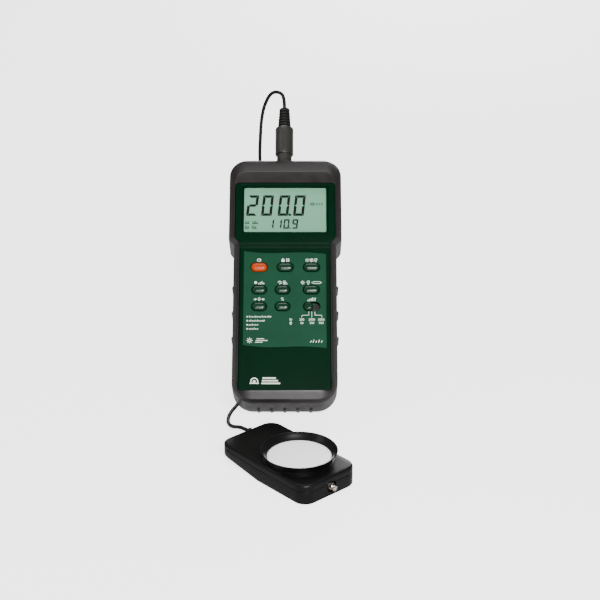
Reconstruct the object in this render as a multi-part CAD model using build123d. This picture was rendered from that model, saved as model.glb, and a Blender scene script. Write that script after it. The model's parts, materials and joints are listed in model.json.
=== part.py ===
from build123d import *
import math
import os

# Hand-held light meter in a rubber boot, leaning back on its rear tilt stand, with its
# light sensor lying in front of it on a cord.
#
# Row frame, millimetres: +Z up from the table, +Y from the sensor towards the meter's
# back, +X to the reader's right. The meter is modelled upright and is then leaned back:
# its x is across, its y goes from the boot's front plane to the back, its z goes up from
# the boot's lower end. The sensor is modelled along its own x, stud end at +x.

# ---------------------------------------------------------------- driving dimensions
LEAN = 42.0  # how far the meter leans back from upright, degrees

BOOT_LENGTH = 185.3
BOOT_BODY_WIDTH = 74.2
BOOT_HEAD_WIDTH = BOOT_BODY_WIDTH + 7.6
BOOT_DEPTH = 40.0
HEAD_STEP_Z = BOOT_LENGTH - 67.3  # where the body starts to widen into the head
HEAD_STEP_RISE = 4.2
BOOT_WALL = 2.5
BOOT_BACK_WALL = 2.7
BOOT_CORNER_LOW = 15.0
BOOT_CORNER_HIGH = 13.0
LIP_DEPTH = 7.5  # depth of the sloping lip round the front
LIP_SIDE = 4.2
LIP_TOP = 12.6
LIP_BOTTOM = 6.9
OPENING_SIDE = 4.5
OPENING_TOP = 21.0
OPENING_BOTTOM = 7.3
BACK_ROUND = 3.5
RIB_RADIUS = 1.5
RIB_HEIGHTS = (51.9, 71.1, 90.3)
RIB_PITCH = 9.2
RIB_FRONT = 20.0
RIB_FRONT_LOW = 22.0
BACK_WINDOW_WIDTH = 42.0
BACK_WINDOW_LOW = 12.0
BACK_WINDOW_HIGH = 104.0

FIT = 0.3  # gap between the boot and the case
CASE_TOP_INSET = 7.0
CASE_BOTTOM_INSET = 5.0
CASE_RIM_Y = 5.2
CASE_WALL = 2.0
CASE_CORNER = 9.0
PANEL_Y = 1.6  # front of the lower green panel
HOOD_Y = -0.4  # front of the raised display hood
HOOD_LOW_Z = HEAD_STEP_Z - 2.6
PANEL_GAP = 0.25
PLATE = 2.4  # thickness of the front plate
PARTING_Y = 17.5

WINDOW_WIDTH = BOOT_BODY_WIDTH - 12.2
WINDOW_LOW_Z = BOOT_LENGTH - 60.4
WINDOW_HIGH_Z = BOOT_LENGTH - 22.8
WINDOW_BEVEL = 1.2
LENS_THICK = 1.2
LENS_LAND = 1.6
CELL_THICK = 2.2
CELL_Y = 3.3
FRAME_WALL = 2.0

LABEL_WIDTH = 58.6
LABEL_HIGH_LEFT, LABEL_HIGH_RIGHT = 111.3, 109.2
LABEL_LOW_LEFT, LABEL_LOW_RIGHT = 40.7, 38.5
LABEL_SAG = 0.7
LABEL_THICK = 0.4
LABEL_RECESS = 0.5

KEY_HEIGHT = 6.4
KEY_GAP = 0.2
KEY_FRONT_Y = 0.3
KEY_TRAVEL = 1.0
KEY_FLANGE = 1.1
# name: x, z, length
KEYS = {
    "power_key": (-18.5, 99.0, 11.5),
    "hold_key": (0.2, 99.0, 11.5),
    "units_key": (18.9, 99.0, 11.5),
    "record_key": (-18.2, 81.9, 10.4),
    "recall_key": (-1.7, 81.9, 10.4),
    "lamp_key": (18.7, 81.9, 11.5),
    "zero_key": (-18.2, 69.3, 10.4),
    "percent_key": (-1.7, 69.3, 10.4),
}
SLOT_X, SLOT_Z = 18.9, 69.3
KNOB_LENGTH = KEY_HEIGHT + 0.5
KNOB_TRAVEL = 4.4
SLOT_LENGTH = KNOB_LENGTH + KNOB_TRAVEL + 0.2

BOARD_Y = 9.0
BOARD_THICK = 1.6
BOARD_HIGH_Z = BOOT_LENGTH - 20.3
BOSS_RADIUS = 3.5
SCREW_RADIUS = 1.25
SCREW_HEAD_RADIUS = 2.4
SCREW_HEAD = 1.8
SCREW_FIT = 0.05
CASE_SCREW_X = BOOT_BODY_WIDTH / 2 - 10.1
CASE_SCREW_Z = (15.0, BOOT_LENGTH - 15.3)
BOARD_SCREW_X = BOOT_BODY_WIDTH / 2 - 9.6
BOARD_SCREW_Z = (52.0, 117.0)

SOCKET_X = -1.0
SOCKET_RADIUS = 7.4
NOSE_RADIUS = 5.55
NOSE_FIT = 0.1
NOSE_LOW_Z = BOOT_LENGTH - 14.3
SHELL_LOW_Z = BOOT_LENGTH + 9.1
SHELL_HIGH_Z = SHELL_LOW_Z + 22.2
SHELL_RADIUS = 6.75
RELIEF_HIGH_Z = SHELL_HIGH_Z + 16.1
RELIEF_RADIUS_LOW, RELIEF_RADIUS_HIGH = 4.95, 3.9
PIN_RADIUS = 0.7
PLUG_PINS = 5

JACK_Z = BOOT_LENGTH - 45.3
JACK_RADIUS = 1.75
JACK_LENGTH = 14.0
TRIMMER_Y, TRIMMER_Z = 6.8, 96.2
TRIMMER_HOLE = 0.8

BATTERY_WIDTH, BATTERY_DEPTH, BATTERY_HEIGHT = 26.5, 17.0, 48.5
BATTERY_LOW_Z = 18.5
BATTERY_FIT = 0.5
BOX_WALL = 1.5
DOOR_THICK = 1.6
DOOR_FIT = 0.25
DOOR_LEDGE = 1.6

HINGE_Z = 120.0
HINGE_OFFSET = 3.6  # hinge pin behind the boot's back face
HINGE_PIN_RADIUS = 1.25
HINGE_BARREL = 2.8
HINGE_FIT = 0.05
EAR_WIDTH = 4.0
STAND_WIDTH = 40.0
STAND_THICK = 2.8
STAND_RAIL = 8.0
STAND_OPEN = 54.0  # angle between the open leg and the meter's back, degrees
FOOT_RADIUS = 2.6

SENSOR_LENGTH = 85.0
SENSOR_WIDTH = 47.5
SENSOR_HEIGHT = 14.0
SENSOR_CORNER = 9.0
SENSOR_TURN = -48.0  # turn of the sensor about +Z, degrees
SENSOR_FROM_METER = (2.5, -53.0)  # sensor's middle from the upright meter's origin
SENSOR_RISE = 6.0  # how high the underside is at the cord end
SENSOR_BEND_X = -3.0
SENSOR_SPLIT_Z = 9.2
SENSOR_SPLIT_RISE = 1.6
SENSOR_WALL = 1.8
COLLAR_X = 11.5
COLLAR_NECK = 21.4
COLLAR_RIM = 25.2
COLLAR_HEIGHT = 6.8
DISC_RADIUS = 21.0
DISC_LIFT = 2.4
STUD_RADIUS = 1.85
STUD_OUT = 3.6
STUD_Z = 6.6
STUD_RECESS_RADIUS = 4.0
STUD_RECESS = 1.4
GLAND_Y = 5.0
GLAND_Z = 10.4
GLAND_RADIUS = 2.6
GLAND_OUT = 2.6

CORD = 2.7
COIL_CENTRE = (-2.0, 150.5)
COIL_TURN_RADIUS = 15.5
COIL_HALF_WIDTH = 4.1
COIL_HEIGHT = 5.5
TIE_THICK = 0.6
TIE_WIDTH = 5.0

# The cord's route in the row frame. The ends are worked out from the plug and gland.
UPPER_STRAIGHT = 9.4  # straight out of the strain relief
BOOT_GROWTH = BOOT_LENGTH - 185.3  # the cord's loop moves with the boot's upper end
LOOP_BACK = BOOT_GROWTH * math.sin(math.radians(LEAN))
LOOP_UP = BOOT_GROWTH * math.cos(math.radians(LEAN))
UPPER_ROUTE = [
    (-6.4, 153.2 + LOOP_BACK, 201.2 + LOOP_UP),
    (-15.4, 159.6 + LOOP_BACK, 200.4 + LOOP_UP),
    (-21.2, 163.8 + LOOP_BACK, 185.2 + LOOP_UP),
    (-22.4, 165.4 + LOOP_BACK, 166.0 + LOOP_UP),
    (-22.9, 165.7 + LOOP_BACK, 143.0 + LOOP_UP),
    (-21.9, 166.9, 108.0),
    (-23.2, 167.1, 68.0),
    (-22.4, 167.8, 38.0),
    (-23.0, 167.4, 19.0),
    (-20.8, 167.0, 8.0),
    (-13.0, 166.4, 2.1),
]
LOWER_STRAIGHT = 8.6  # straight out of the sensor's gland
LOWER_ROUTE = [
    (-14.0, 134.7, 1.9),
    (-25.6, 129.6, 1.36),
    (-32.6, 117.0, 1.36),
    (-33.4, 99.0, 1.36),
    (-31.8, 80.0, 1.36),
    (-35.4, 58.0, 1.36),
    (-33.2, 36.0, 1.36),
    (-35.6, 16.5, 1.36),
    (-41.6, 1.0, 1.4),
    (-42.4, -14.0, 1.7),
    (-38.2, -27.4, 5.0),
]


# ------------------------------------------------------------------------ small tools
def across(sketch, front, back):
    """Solid of an x-z sketch between two depths of the upright meter."""
    return extrude(Plane.XZ.offset(-front) * sketch, amount=front - back)


def pill(x, z, length, height):
    """Slot-shaped outline, length along x, its middle at x, z."""
    return Pos(x, z) * SlotOverall(length, height)


def block(x, y, z):
    """Box from three (low, high) spans."""
    size = Box(x[1] - x[0], y[1] - y[0], z[1] - z[0])
    return Pos((x[0] + x[1]) / 2, (y[0] + y[1]) / 2, (z[0] + z[1]) / 2) * size


def rod_y(x, z, radius, front, back):
    """Round rod along the meter's depth."""
    return across(Pos(x, z) * Circle(radius), front, back)


def rod_z(x, y, radius, low, high):
    """Round rod along the meter's length."""
    return extrude(Pos(x, y, low) * Circle(radius), amount=high - low)


def rod_x(y, z, radius, left, right):
    """Round rod across the meter."""
    return extrude(Plane.YZ.offset(left) * Pos(y, z) * Circle(radius), amount=right - left)


def meter_outline(side, bottom, top, low_round, high_round):
    """The meter's front outline, moved in from the boot's outline by three insets."""
    body = BOOT_BODY_WIDTH / 2 - side
    head = BOOT_HEAD_WIDTH / 2 - side
    low, high = bottom, BOOT_LENGTH - top
    step = HEAD_STEP_Z - side * 0.2
    points = [
        (body, low),
        (body, step),
        (head, step + HEAD_STEP_RISE),
        (head, high),
        (-head, high),
        (-head, step + HEAD_STEP_RISE),
        (-body, step),
        (-body, low),
    ]
    face = make_face(Polyline(*points, close=True))
    corners = face.vertices()
    lows = [v for v in corners if abs(v.Y - low) < 0.01]
    highs = [v for v in corners if abs(v.Y - high) < 0.01]
    face = fillet(lows, low_round)
    highs = [v for v in face.vertices() if abs(v.Y - high) < 0.01 and abs(abs(v.X) - head) < 0.01]
    return fillet(highs, high_round)


def case_outline(extra=0.0):
    """Outline of the plastic case, grown by extra."""
    side = BOOT_WALL + FIT - extra
    return meter_outline(
        side, CASE_BOTTOM_INSET - extra, CASE_TOP_INSET - extra, CASE_CORNER, CASE_CORNER
    )


def opening_outline(extra=0.0):
    """Outline of the boot's front opening, grown by extra."""
    return meter_outline(
        OPENING_SIDE - extra, OPENING_BOTTOM - extra, OPENING_TOP - extra, 3.0, 3.0
    )


CASE_BACK_Y = BOOT_DEPTH - BOOT_BACK_WALL - FIT
CASE_LOW_Z = CASE_BOTTOM_INSET
CASE_HIGH_Z = BOOT_LENGTH - CASE_TOP_INSET
DOOR_LOW_Z = BATTERY_LOW_Z - 2.5
DOOR_HIGH_Z = BATTERY_LOW_Z + BATTERY_HEIGHT + 6.5
DOOR_HALF = BATTERY_WIDTH / 2 + BATTERY_FIT + DOOR_LEDGE
BATTERY_BACK_Y = CASE_BACK_Y - DOOR_THICK - BATTERY_FIT
BATTERY_FRONT_Y = BATTERY_BACK_Y - BATTERY_DEPTH
HINGE_Y = BOOT_DEPTH + HINGE_OFFSET
PANEL_INSIDE_Y = PANEL_Y + PLATE


# ------------------------------------------------------------------------------- boot
def protective_boot():
    outer = meter_outline(0, 0, 0, BOOT_CORNER_LOW, BOOT_CORNER_HIGH)
    front = meter_outline(LIP_SIDE, LIP_BOTTOM, LIP_TOP, BOOT_CORNER_LOW - 5, BOOT_CORNER_HIGH - 4)
    lip = loft(
        [Plane.XZ * front, Plane.XZ.offset(-LIP_DEPTH) * outer], ruled=True
    )
    body = across(outer, LIP_DEPTH, BOOT_DEPTH)
    body = chamfer(body.faces().sort_by(Axis.Y)[-1].edges(), BACK_ROUND)
    boot = lip + body
    half = BOOT_BODY_WIDTH / 2
    rib_back = BOOT_DEPTH - BACK_ROUND
    for z in RIB_HEIGHTS:
        for side in (-1, 1):
            boot += rod_y(side * half, z, RIB_RADIUS, RIB_FRONT, rib_back)
    for i in range(-2, 3):
        boot += rod_y(i * RIB_PITCH, 0, RIB_RADIUS, RIB_FRONT_LOW, rib_back)
    boot -= across(case_outline(FIT), CASE_RIM_Y - FIT, CASE_BACK_Y + FIT)
    boot -= across(opening_outline(), -1, CASE_RIM_Y)
    window = RectangleRounded(BACK_WINDOW_WIDTH, BACK_WINDOW_HIGH - BACK_WINDOW_LOW, 4)
    window = Pos(0, (BACK_WINDOW_LOW + BACK_WINDOW_HIGH) / 2) * window
    boot -= across(window, CASE_BACK_Y, BOOT_DEPTH + 1)
    boot -= rod_z(SOCKET_X, PARTING_Y, NOSE_RADIUS + 0.6, CASE_HIGH_Z - 1, BOOT_LENGTH + 1)
    boot -= rod_x(PARTING_Y, JACK_Z, JACK_RADIUS + 3.2, BOOT_HEAD_WIDTH / 2 - 4, BOOT_HEAD_WIDTH)
    boot -= rod_x(TRIMMER_Y, TRIMMER_Z, TRIMMER_HOLE, -BOOT_BODY_WIDTH, -BOOT_BODY_WIDTH / 2 + 4)
    for side in (-1, 1):
        boot += hinge_ear(side)
    return boot


def hinge_ear(side):
    """Lug behind the boot that holds one end of the stand's pin."""
    near = STAND_WIDTH / 2 + 0.6
    spans = sorted((side * near, side * (near + EAR_WIDTH)))
    root_z = HINGE_BARREL + 3
    profile = make_hull(
        [
            *(Pos(HINGE_Y, HINGE_Z) * Circle(HINGE_BARREL)).edges(),
            Line((BOOT_DEPTH - 0.5, HINGE_Z - root_z), (BOOT_DEPTH - 0.5, HINGE_Z + root_z)),
        ]
    )
    ear = extrude(Plane.YZ.offset(spans[0]) * profile, amount=EAR_WIDTH)
    return ear - rod_x(HINGE_Y, HINGE_Z, HINGE_PIN_RADIUS + 0.02, spans[0] - 1, spans[1] + 1)


# ------------------------------------------------------------------------------- case
def label_outline(inset):
    """Overlay outline: straight sides, gently curved upper and lower edges."""
    half = LABEL_WIDTH / 2 - inset
    high_left, high_right = LABEL_HIGH_LEFT - inset, LABEL_HIGH_RIGHT - inset
    low_left, low_right = LABEL_LOW_LEFT + inset, LABEL_LOW_RIGHT + inset
    high_mid = (high_left + high_right) / 2 - LABEL_SAG
    low_mid = (low_left + low_right) / 2 - LABEL_SAG
    outline = [
        ThreePointArc((-half, high_left), (0, high_mid), (half, high_right)),
        Line((half, high_right), (half, low_right)),
        ThreePointArc((half, low_right), (0, low_mid), (-half, low_left)),
        Line((-half, low_left), (-half, high_left)),
    ]
    return make_face(Curve() + outline)


def key_holes(front, back):
    """Tool bodies of the eight key holes and the range slot."""
    tools = [
        across(pill(x, z, length + 2 * KEY_GAP, KEY_HEIGHT + 2 * KEY_GAP), front, back)
        for x, z, length in KEYS.values()
    ]
    slot = pill(SLOT_X, SLOT_Z, SLOT_LENGTH, KEY_HEIGHT + 2 * KEY_GAP)
    return tools + [across(slot, front, back)]


def window_rectangle(grow):
    """Display window outline, grown or shrunk all round."""
    width = WINDOW_WIDTH + 2 * grow
    height = WINDOW_HIGH_Z - WINDOW_LOW_Z + 2 * grow
    return Pos(0, (WINDOW_LOW_Z + WINDOW_HIGH_Z) / 2) * RectangleRounded(width, height, 1.5)


def front_cover():
    cover = across(case_outline(), CASE_RIM_Y, PARTING_Y)
    cover += across(opening_outline(-PANEL_GAP), PANEL_Y, CASE_RIM_Y + 0.5)
    head = opening_outline(-PANEL_GAP)
    head &= Pos(0, HOOD_LOW_Z + 50) * Rectangle(100, 100)
    hood = across(head, HOOD_Y, PANEL_Y + 0.5)
    low_edge = hood.edges().filter_by(Axis.X).sort_by(lambda e: e.center().Z + e.center().Y)[0]
    cover += chamfer(low_edge, (PANEL_Y - HOOD_Y) * 0.8)
    room = case_outline(-CASE_WALL)
    cover -= across(room, CASE_RIM_Y + CASE_WALL, PARTING_Y + 1)
    cover -= across(opening_outline(-CASE_WALL - PANEL_GAP), PANEL_INSIDE_Y, CASE_RIM_Y + CASE_WALL)
    aperture = loft(
        [
            Plane.XZ.offset(-HOOD_Y) * window_rectangle(0),
            Plane.XZ.offset(-LENS_LAND) * window_rectangle(-WINDOW_BEVEL),
        ],
        ruled=True,
    )
    cover -= aperture
    cover -= across(window_rectangle(0.7), LENS_LAND, PANEL_INSIDE_Y)
    cover -= across(label_outline(0), PANEL_Y - 0.5, PANEL_Y + LABEL_RECESS)
    for tool in key_holes(PANEL_Y - 1, PANEL_INSIDE_Y + 1):
        cover -= tool
    for x in (-CASE_SCREW_X, CASE_SCREW_X):
        for z in CASE_SCREW_Z:
            cover += rod_y(x, z, BOSS_RADIUS, boss_root(z), PARTING_Y - 0.1)
            cover -= rod_y(x, z, SCREW_RADIUS + SCREW_FIT, CASE_RIM_Y + 1, PARTING_Y)
    for x in (-BOARD_SCREW_X, BOARD_SCREW_X):
        for z in BOARD_SCREW_Z:
            cover += rod_y(x, z, BOSS_RADIUS - 1, PANEL_INSIDE_Y - 0.5, BOARD_Y - 0.05)
            cover -= rod_y(x, z, SCREW_RADIUS + SCREW_FIT, CASE_RIM_Y + 1, BOARD_Y)
    return cover - case_passages()


def boss_root(z):
    """Where a screw post starts: inside the raised panel, or inside the rim above it."""
    above_panel = z > BOOT_LENGTH - OPENING_TOP - BOSS_RADIUS
    return CASE_RIM_Y + 0.5 if above_panel else PANEL_INSIDE_Y - 0.5


def case_passages():
    """Holes that both covers share: socket, data jack and trimmer."""
    half_head, half_body = BOOT_HEAD_WIDTH / 2, BOOT_BODY_WIDTH / 2
    holes = rod_z(SOCKET_X, PARTING_Y, NOSE_RADIUS + 0.35, CASE_HIGH_Z - 4, CASE_HIGH_Z + 1)
    holes += rod_x(PARTING_Y, JACK_Z, JACK_RADIUS + 2.2, half_head - 8, half_head)
    holes += rod_x(TRIMMER_Y, TRIMMER_Z, TRIMMER_HOLE, -half_body, -half_body + 7)
    return holes


def rear_cover():
    cover = across(case_outline(), PARTING_Y, CASE_BACK_Y)
    cover = chamfer(cover.faces().sort_by(Axis.Y)[-1].edges(), 1.5)
    cover -= across(case_outline(-CASE_WALL), PARTING_Y - 1, CASE_BACK_Y - CASE_WALL)
    inner = BATTERY_WIDTH / 2 + BATTERY_FIT
    low, high = BATTERY_LOW_Z - BATTERY_FIT, DOOR_HIGH_Z - DOOR_LEDGE
    front = BATTERY_FRONT_Y - BATTERY_FIT
    cover += block(
        (-inner - BOX_WALL, inner + BOX_WALL),
        (front - BOX_WALL, CASE_BACK_Y - 0.5),
        (low - BOX_WALL, high + BOX_WALL),
    )
    cover -= block((-inner, inner), (front, CASE_BACK_Y + 1), (low, high))
    cover -= block(
        (-DOOR_HALF, DOOR_HALF),
        (CASE_BACK_Y - DOOR_THICK - DOOR_FIT, CASE_BACK_Y + 1),
        (DOOR_LOW_Z, DOOR_HIGH_Z),
    )
    for x in (-CASE_SCREW_X, CASE_SCREW_X):
        for z in CASE_SCREW_Z:
            post = rod_y(x, z, BOSS_RADIUS + 0.6, PARTING_Y, CASE_BACK_Y - 0.5)
            cover += post
            cover -= rod_y(x, z, SCREW_RADIUS + 0.3, PARTING_Y - 1, PARTING_Y + 5)
            cover -= rod_y(x, z, SCREW_HEAD_RADIUS + 0.3, PARTING_Y + 4, CASE_BACK_Y + 1)
    return cover - case_passages()


def battery_cover():
    door = block(
        (-DOOR_HALF + DOOR_FIT, DOOR_HALF - DOOR_FIT),
        (CASE_BACK_Y - DOOR_THICK, CASE_BACK_Y),
        (DOOR_LOW_Z + DOOR_FIT, DOOR_HIGH_Z - DOOR_FIT),
    )
    door = chamfer(door.faces().sort_by(Axis.Y)[-1].edges(), 0.4)
    for i in range(4):
        z = DOOR_HIGH_Z - 6 - 2.2 * i
        door -= rod_x(CASE_BACK_Y + 0.3, z, 0.7, -6, 6)
    return door


# --------------------------------------------------------------------- display, inside
def lcd_window():
    return across(window_rectangle(0.5), LENS_LAND + 0.05, LENS_LAND + 0.05 + LENS_THICK)


def lcd_glass():
    return across(window_rectangle(-0.7), CELL_Y, CELL_Y + CELL_THICK)


def lcd_frame():
    outer = window_rectangle(-0.6)
    frame = across(outer, CELL_Y + CELL_THICK, BOARD_Y - 0.05)
    return frame - across(window_rectangle(-FRAME_WALL), CELL_Y, BOARD_Y)


def contact_strips():
    half = WINDOW_WIDTH / 2 - FRAME_WALL - 1.5
    spans = (
        (WINDOW_LOW_Z + FRAME_WALL + 0.3, WINDOW_LOW_Z + FRAME_WALL + 2.3),
        (WINDOW_HIGH_Z - FRAME_WALL - 2.3, WINDOW_HIGH_Z - FRAME_WALL - 0.3),
    )
    depth = (CELL_Y + CELL_THICK + 0.02, BOARD_Y - 0.02)
    return Compound([block((-half, half), depth, span) for span in spans])


def main_board():
    outline = case_outline(-CASE_WALL - 0.6)
    outline &= Pos(0, BOARD_HIGH_Z - BOOT_LENGTH / 2) * Rectangle(BOOT_HEAD_WIDTH, BOOT_LENGTH)
    board = across(outline, BOARD_Y, BOARD_Y + BOARD_THICK)
    for x in (-CASE_SCREW_X, CASE_SCREW_X):
        for z in CASE_SCREW_Z:
            board -= rod_y(x, z, BOSS_RADIUS + 0.4, BOARD_Y - 1, BOARD_Y + BOARD_THICK + 1)
    for x in (-BOARD_SCREW_X, BOARD_SCREW_X):
        for z in BOARD_SCREW_Z:
            board -= rod_y(x, z, SCREW_RADIUS + 0.2, BOARD_Y - 1, BOARD_Y + BOARD_THICK + 1)
    return board


def keypad_label():
    front = PANEL_Y + LABEL_RECESS - LABEL_THICK - 0.02
    label = across(label_outline(0.15), front, front + LABEL_THICK)
    for tool in key_holes(front - 1, front + LABEL_THICK + 1):
        label -= tool
    return label


KEY_FLANGE_Y = PANEL_INSIDE_Y + 0.15
KEY_STEM_Y = KEY_FLANGE_Y + 1.0
SWITCH_Y = KEY_STEM_Y + KEY_TRAVEL + 0.15


def key_cap(x, z, length):
    """Domed cap, the flange that keeps it in the cover, and the stem to its switch."""
    cap = across(pill(x, z, length, KEY_HEIGHT), KEY_FRONT_Y, KEY_FLANGE_Y + 0.1)
    cap = fillet(cap.faces().sort_by(Axis.Y)[0].edges(), 1.1)
    flange = pill(x, z, length + 2 * KEY_FLANGE, KEY_HEIGHT + 2 * KEY_FLANGE)
    cap += across(flange, KEY_FLANGE_Y, KEY_FLANGE_Y + 0.8)
    return cap + rod_y(x, z, 1.5, KEY_FLANGE_Y, KEY_STEM_Y)


def key_switches():
    return Compound(
        [
            block((x - 2.6, x + 2.6), (SWITCH_Y, BOARD_Y - 0.02), (z - 2.6, z + 2.6))
            for x, z, _ in KEYS.values()
        ]
    )


KNOB_X = SLOT_X - (SLOT_LENGTH - KNOB_LENGTH) / 2 + 0.1


def range_knob():
    knob = across(pill(KNOB_X, SLOT_Z, KNOB_LENGTH, KEY_HEIGHT), KEY_FRONT_Y + 0.4, KEY_FLANGE_Y + 0.1)
    knob = fillet(knob.faces().sort_by(Axis.Y)[0].edges(), 0.8)
    groove = block((KNOB_X - 0.4, KNOB_X + 0.4), (-1, KEY_FRONT_Y + 1.1), (SLOT_Z - 5, SLOT_Z + 5))
    plate_length = SLOT_LENGTH + KNOB_TRAVEL + 1.5
    plate = pill(KNOB_X, SLOT_Z, plate_length, KEY_HEIGHT + 2 * KEY_FLANGE)
    knob += across(plate, KEY_FLANGE_Y, KEY_FLANGE_Y + 0.8)
    return knob - groove + rod_y(KNOB_X, SLOT_Z, 1.2, KEY_FLANGE_Y, KEY_STEM_Y + 0.6)


def range_switch():
    body = block(
        (SLOT_X - 6.5, SLOT_X + 6.5), (KEY_STEM_Y + 0.2, BOARD_Y - 0.02), (SLOT_Z - 2.8, SLOT_Z + 2.8)
    )
    travel = (KNOB_X - 1.6, KNOB_X + KNOB_TRAVEL + 1.6)
    return body - block(travel, (0, KEY_STEM_Y + 1.2), (SLOT_Z - 1.6, SLOT_Z + 1.6))


def trimmer_parts():
    """Trimmer body and its rotor, behind the pin hole in the left lip."""
    left = -BOOT_BODY_WIDTH / 2 + OPENING_SIDE + PANEL_GAP + CASE_WALL + 0.4
    body = block(
        (left + 0.4, left + 4.0), (TRIMMER_Y - 2.0, BOARD_Y - 0.02), (TRIMMER_Z - 2.4, TRIMMER_Z + 2.4)
    )
    body -= rod_x(TRIMMER_Y, TRIMMER_Z, 1.25, left, left + 2.6)
    rotor = rod_x(TRIMMER_Y, TRIMMER_Z, 1.2, left + 0.1, left + 2.55)
    slot = (TRIMMER_Z - 0.25, TRIMMER_Z + 0.25)
    rotor -= block((left, left + 0.8), (TRIMMER_Y - 2, TRIMMER_Y + 2), slot)
    return body, rotor


def output_jack():
    right = BOOT_HEAD_WIDTH / 2 - BOOT_WALL - FIT
    mouth = right - 0.2
    y, z = PARTING_Y, JACK_Z
    jack = block((mouth - JACK_LENGTH - 1.8, mouth - CASE_WALL - 0.2), (y - 4, y + 4), (z - 4, z + 4))
    jack += rod_x(y, z, JACK_RADIUS + 2.0, mouth - CASE_WALL - 1, mouth)
    return jack - rod_x(y, z, JACK_RADIUS, mouth - JACK_LENGTH, mouth + 1)


def battery_block():
    half = BATTERY_WIDTH / 2
    depth = (BATTERY_FRONT_Y, BATTERY_BACK_Y)
    return block((-half, half), depth, (BATTERY_LOW_Z, BATTERY_LOW_Z + BATTERY_HEIGHT - 2.5))


def battery_snap():
    top = BATTERY_LOW_Z + BATTERY_HEIGHT - 2.5
    middle = (BATTERY_FRONT_Y + BATTERY_BACK_Y) / 2
    half = BATTERY_WIDTH / 2 - 0.5
    depth = (BATTERY_FRONT_Y + 0.5, BATTERY_BACK_Y - 0.5)
    snap = block((-half, half), depth, (top + 2.6, top + 4.6))
    for x, radius in ((-6.4, 2.8), (6.4, 3.6)):
        snap += rod_z(x, middle, radius, top + 0.05, top + 3)
    return snap


def screw(x, z, front, head_y):
    """Pan head screw driven from the back, tip at front."""
    body = rod_y(x, z, SCREW_RADIUS, front, head_y) + rod_y(
        x, z, SCREW_HEAD_RADIUS, head_y, head_y + SCREW_HEAD
    )
    slots = block((x - 1.5, x + 1.5), (head_y + 1, head_y + 3), (z - 0.3, z + 0.3))
    slots += block((x - 0.3, x + 0.3), (head_y + 1, head_y + 3), (z - 1.5, z + 1.5))
    return body - slots


def screws(half, heights, front, head_y):
    return Compound([screw(x, z, front, head_y) for x in (-half, half) for z in heights])


# ------------------------------------------------------------------------ socket, plug
def sensor_socket():
    top = CASE_HIGH_Z - CASE_WALL - 0.2
    floor = NOSE_LOW_Z - 1.0
    socket = rod_z(SOCKET_X, PARTING_Y, SOCKET_RADIUS, floor - 2.7, top)
    socket -= rod_z(SOCKET_X, PARTING_Y, NOSE_RADIUS + NOSE_FIT, floor, top + 1)
    for x, y in pin_places():
        socket -= rod_z(x, y, PIN_RADIUS + 0.15, floor - 2.2, floor + 1)
    return socket


def pin_places():
    """Plug pins on an arc round the socket's axis."""
    places = []
    for i in range(PLUG_PINS):
        turn = math.radians(180 * i / (PLUG_PINS - 1))
        places.append((SOCKET_X + 3.2 * math.cos(turn), PARTING_Y + 3.2 * math.sin(turn)))
    return places


def plug_nose():
    nose = rod_z(SOCKET_X, PARTING_Y, NOSE_RADIUS, NOSE_LOW_Z, SHELL_LOW_Z)
    return nose - rod_z(SOCKET_X, PARTING_Y, NOSE_RADIUS - 0.6, NOSE_LOW_Z - 1, SHELL_LOW_Z + 1)


def plug_insert():
    insert = rod_z(SOCKET_X, PARTING_Y, NOSE_RADIUS - 0.65, NOSE_LOW_Z + 5, SHELL_LOW_Z - 0.1)
    for x, y in pin_places():
        insert -= rod_z(x, y, PIN_RADIUS + 0.02, NOSE_LOW_Z, SHELL_LOW_Z + 1)
    return insert


def plug_pins():
    low, high = NOSE_LOW_Z - 2.6, SHELL_LOW_Z - 1
    return Compound([rod_z(x, y, PIN_RADIUS, low, high) for x, y in pin_places()])


def plug_shell():
    shell = rod_z(SOCKET_X, PARTING_Y, SHELL_RADIUS, SHELL_LOW_Z, SHELL_HIGH_Z)
    return chamfer(shell.edges().filter_by(GeomType.CIRCLE), 0.7)


def plug_strain_relief():
    span = RELIEF_HIGH_Z - SHELL_HIGH_Z
    outline = Polyline(
        (0, SHELL_HIGH_Z),
        (RELIEF_RADIUS_LOW, SHELL_HIGH_Z),
        (RELIEF_RADIUS_HIGH, RELIEF_HIGH_Z - 0.8),
        (RELIEF_RADIUS_HIGH - 0.8, RELIEF_HIGH_Z),
        (0, RELIEF_HIGH_Z),
        close=True,
    )
    relief = revolve(Plane.XZ * make_face(outline), Axis.Z)
    relief = Pos(SOCKET_X, PARTING_Y, 0) * relief
    for i in range(5):
        z = SHELL_HIGH_Z + span * (0.22 + 0.15 * i)
        ring = rod_z(SOCKET_X, PARTING_Y, SHELL_RADIUS, z - 0.4, z + 0.4)
        ring -= rod_z(SOCKET_X, PARTING_Y, RELIEF_RADIUS_HIGH - 0.5, z - 1, z + 1)
        relief -= ring
    return relief


# ------------------------------------------------------------------------------ stand
def stand_pin():
    half = STAND_WIDTH / 2 + 0.6 + EAR_WIDTH
    return rod_x(HINGE_Y, HINGE_Z, HINGE_PIN_RADIUS, -half, half)


def stand_leg_length(meter_height):
    """Hinge to foot centre, so that the open leg's feet just reach the table."""
    lean = math.radians(LEAN)
    hinge_height = meter_height - HINGE_Y * math.sin(lean) + HINGE_Z * math.cos(lean)
    return (hinge_height - FOOT_RADIUS) / math.cos(math.radians(STAND_OPEN - LEAN))


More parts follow.
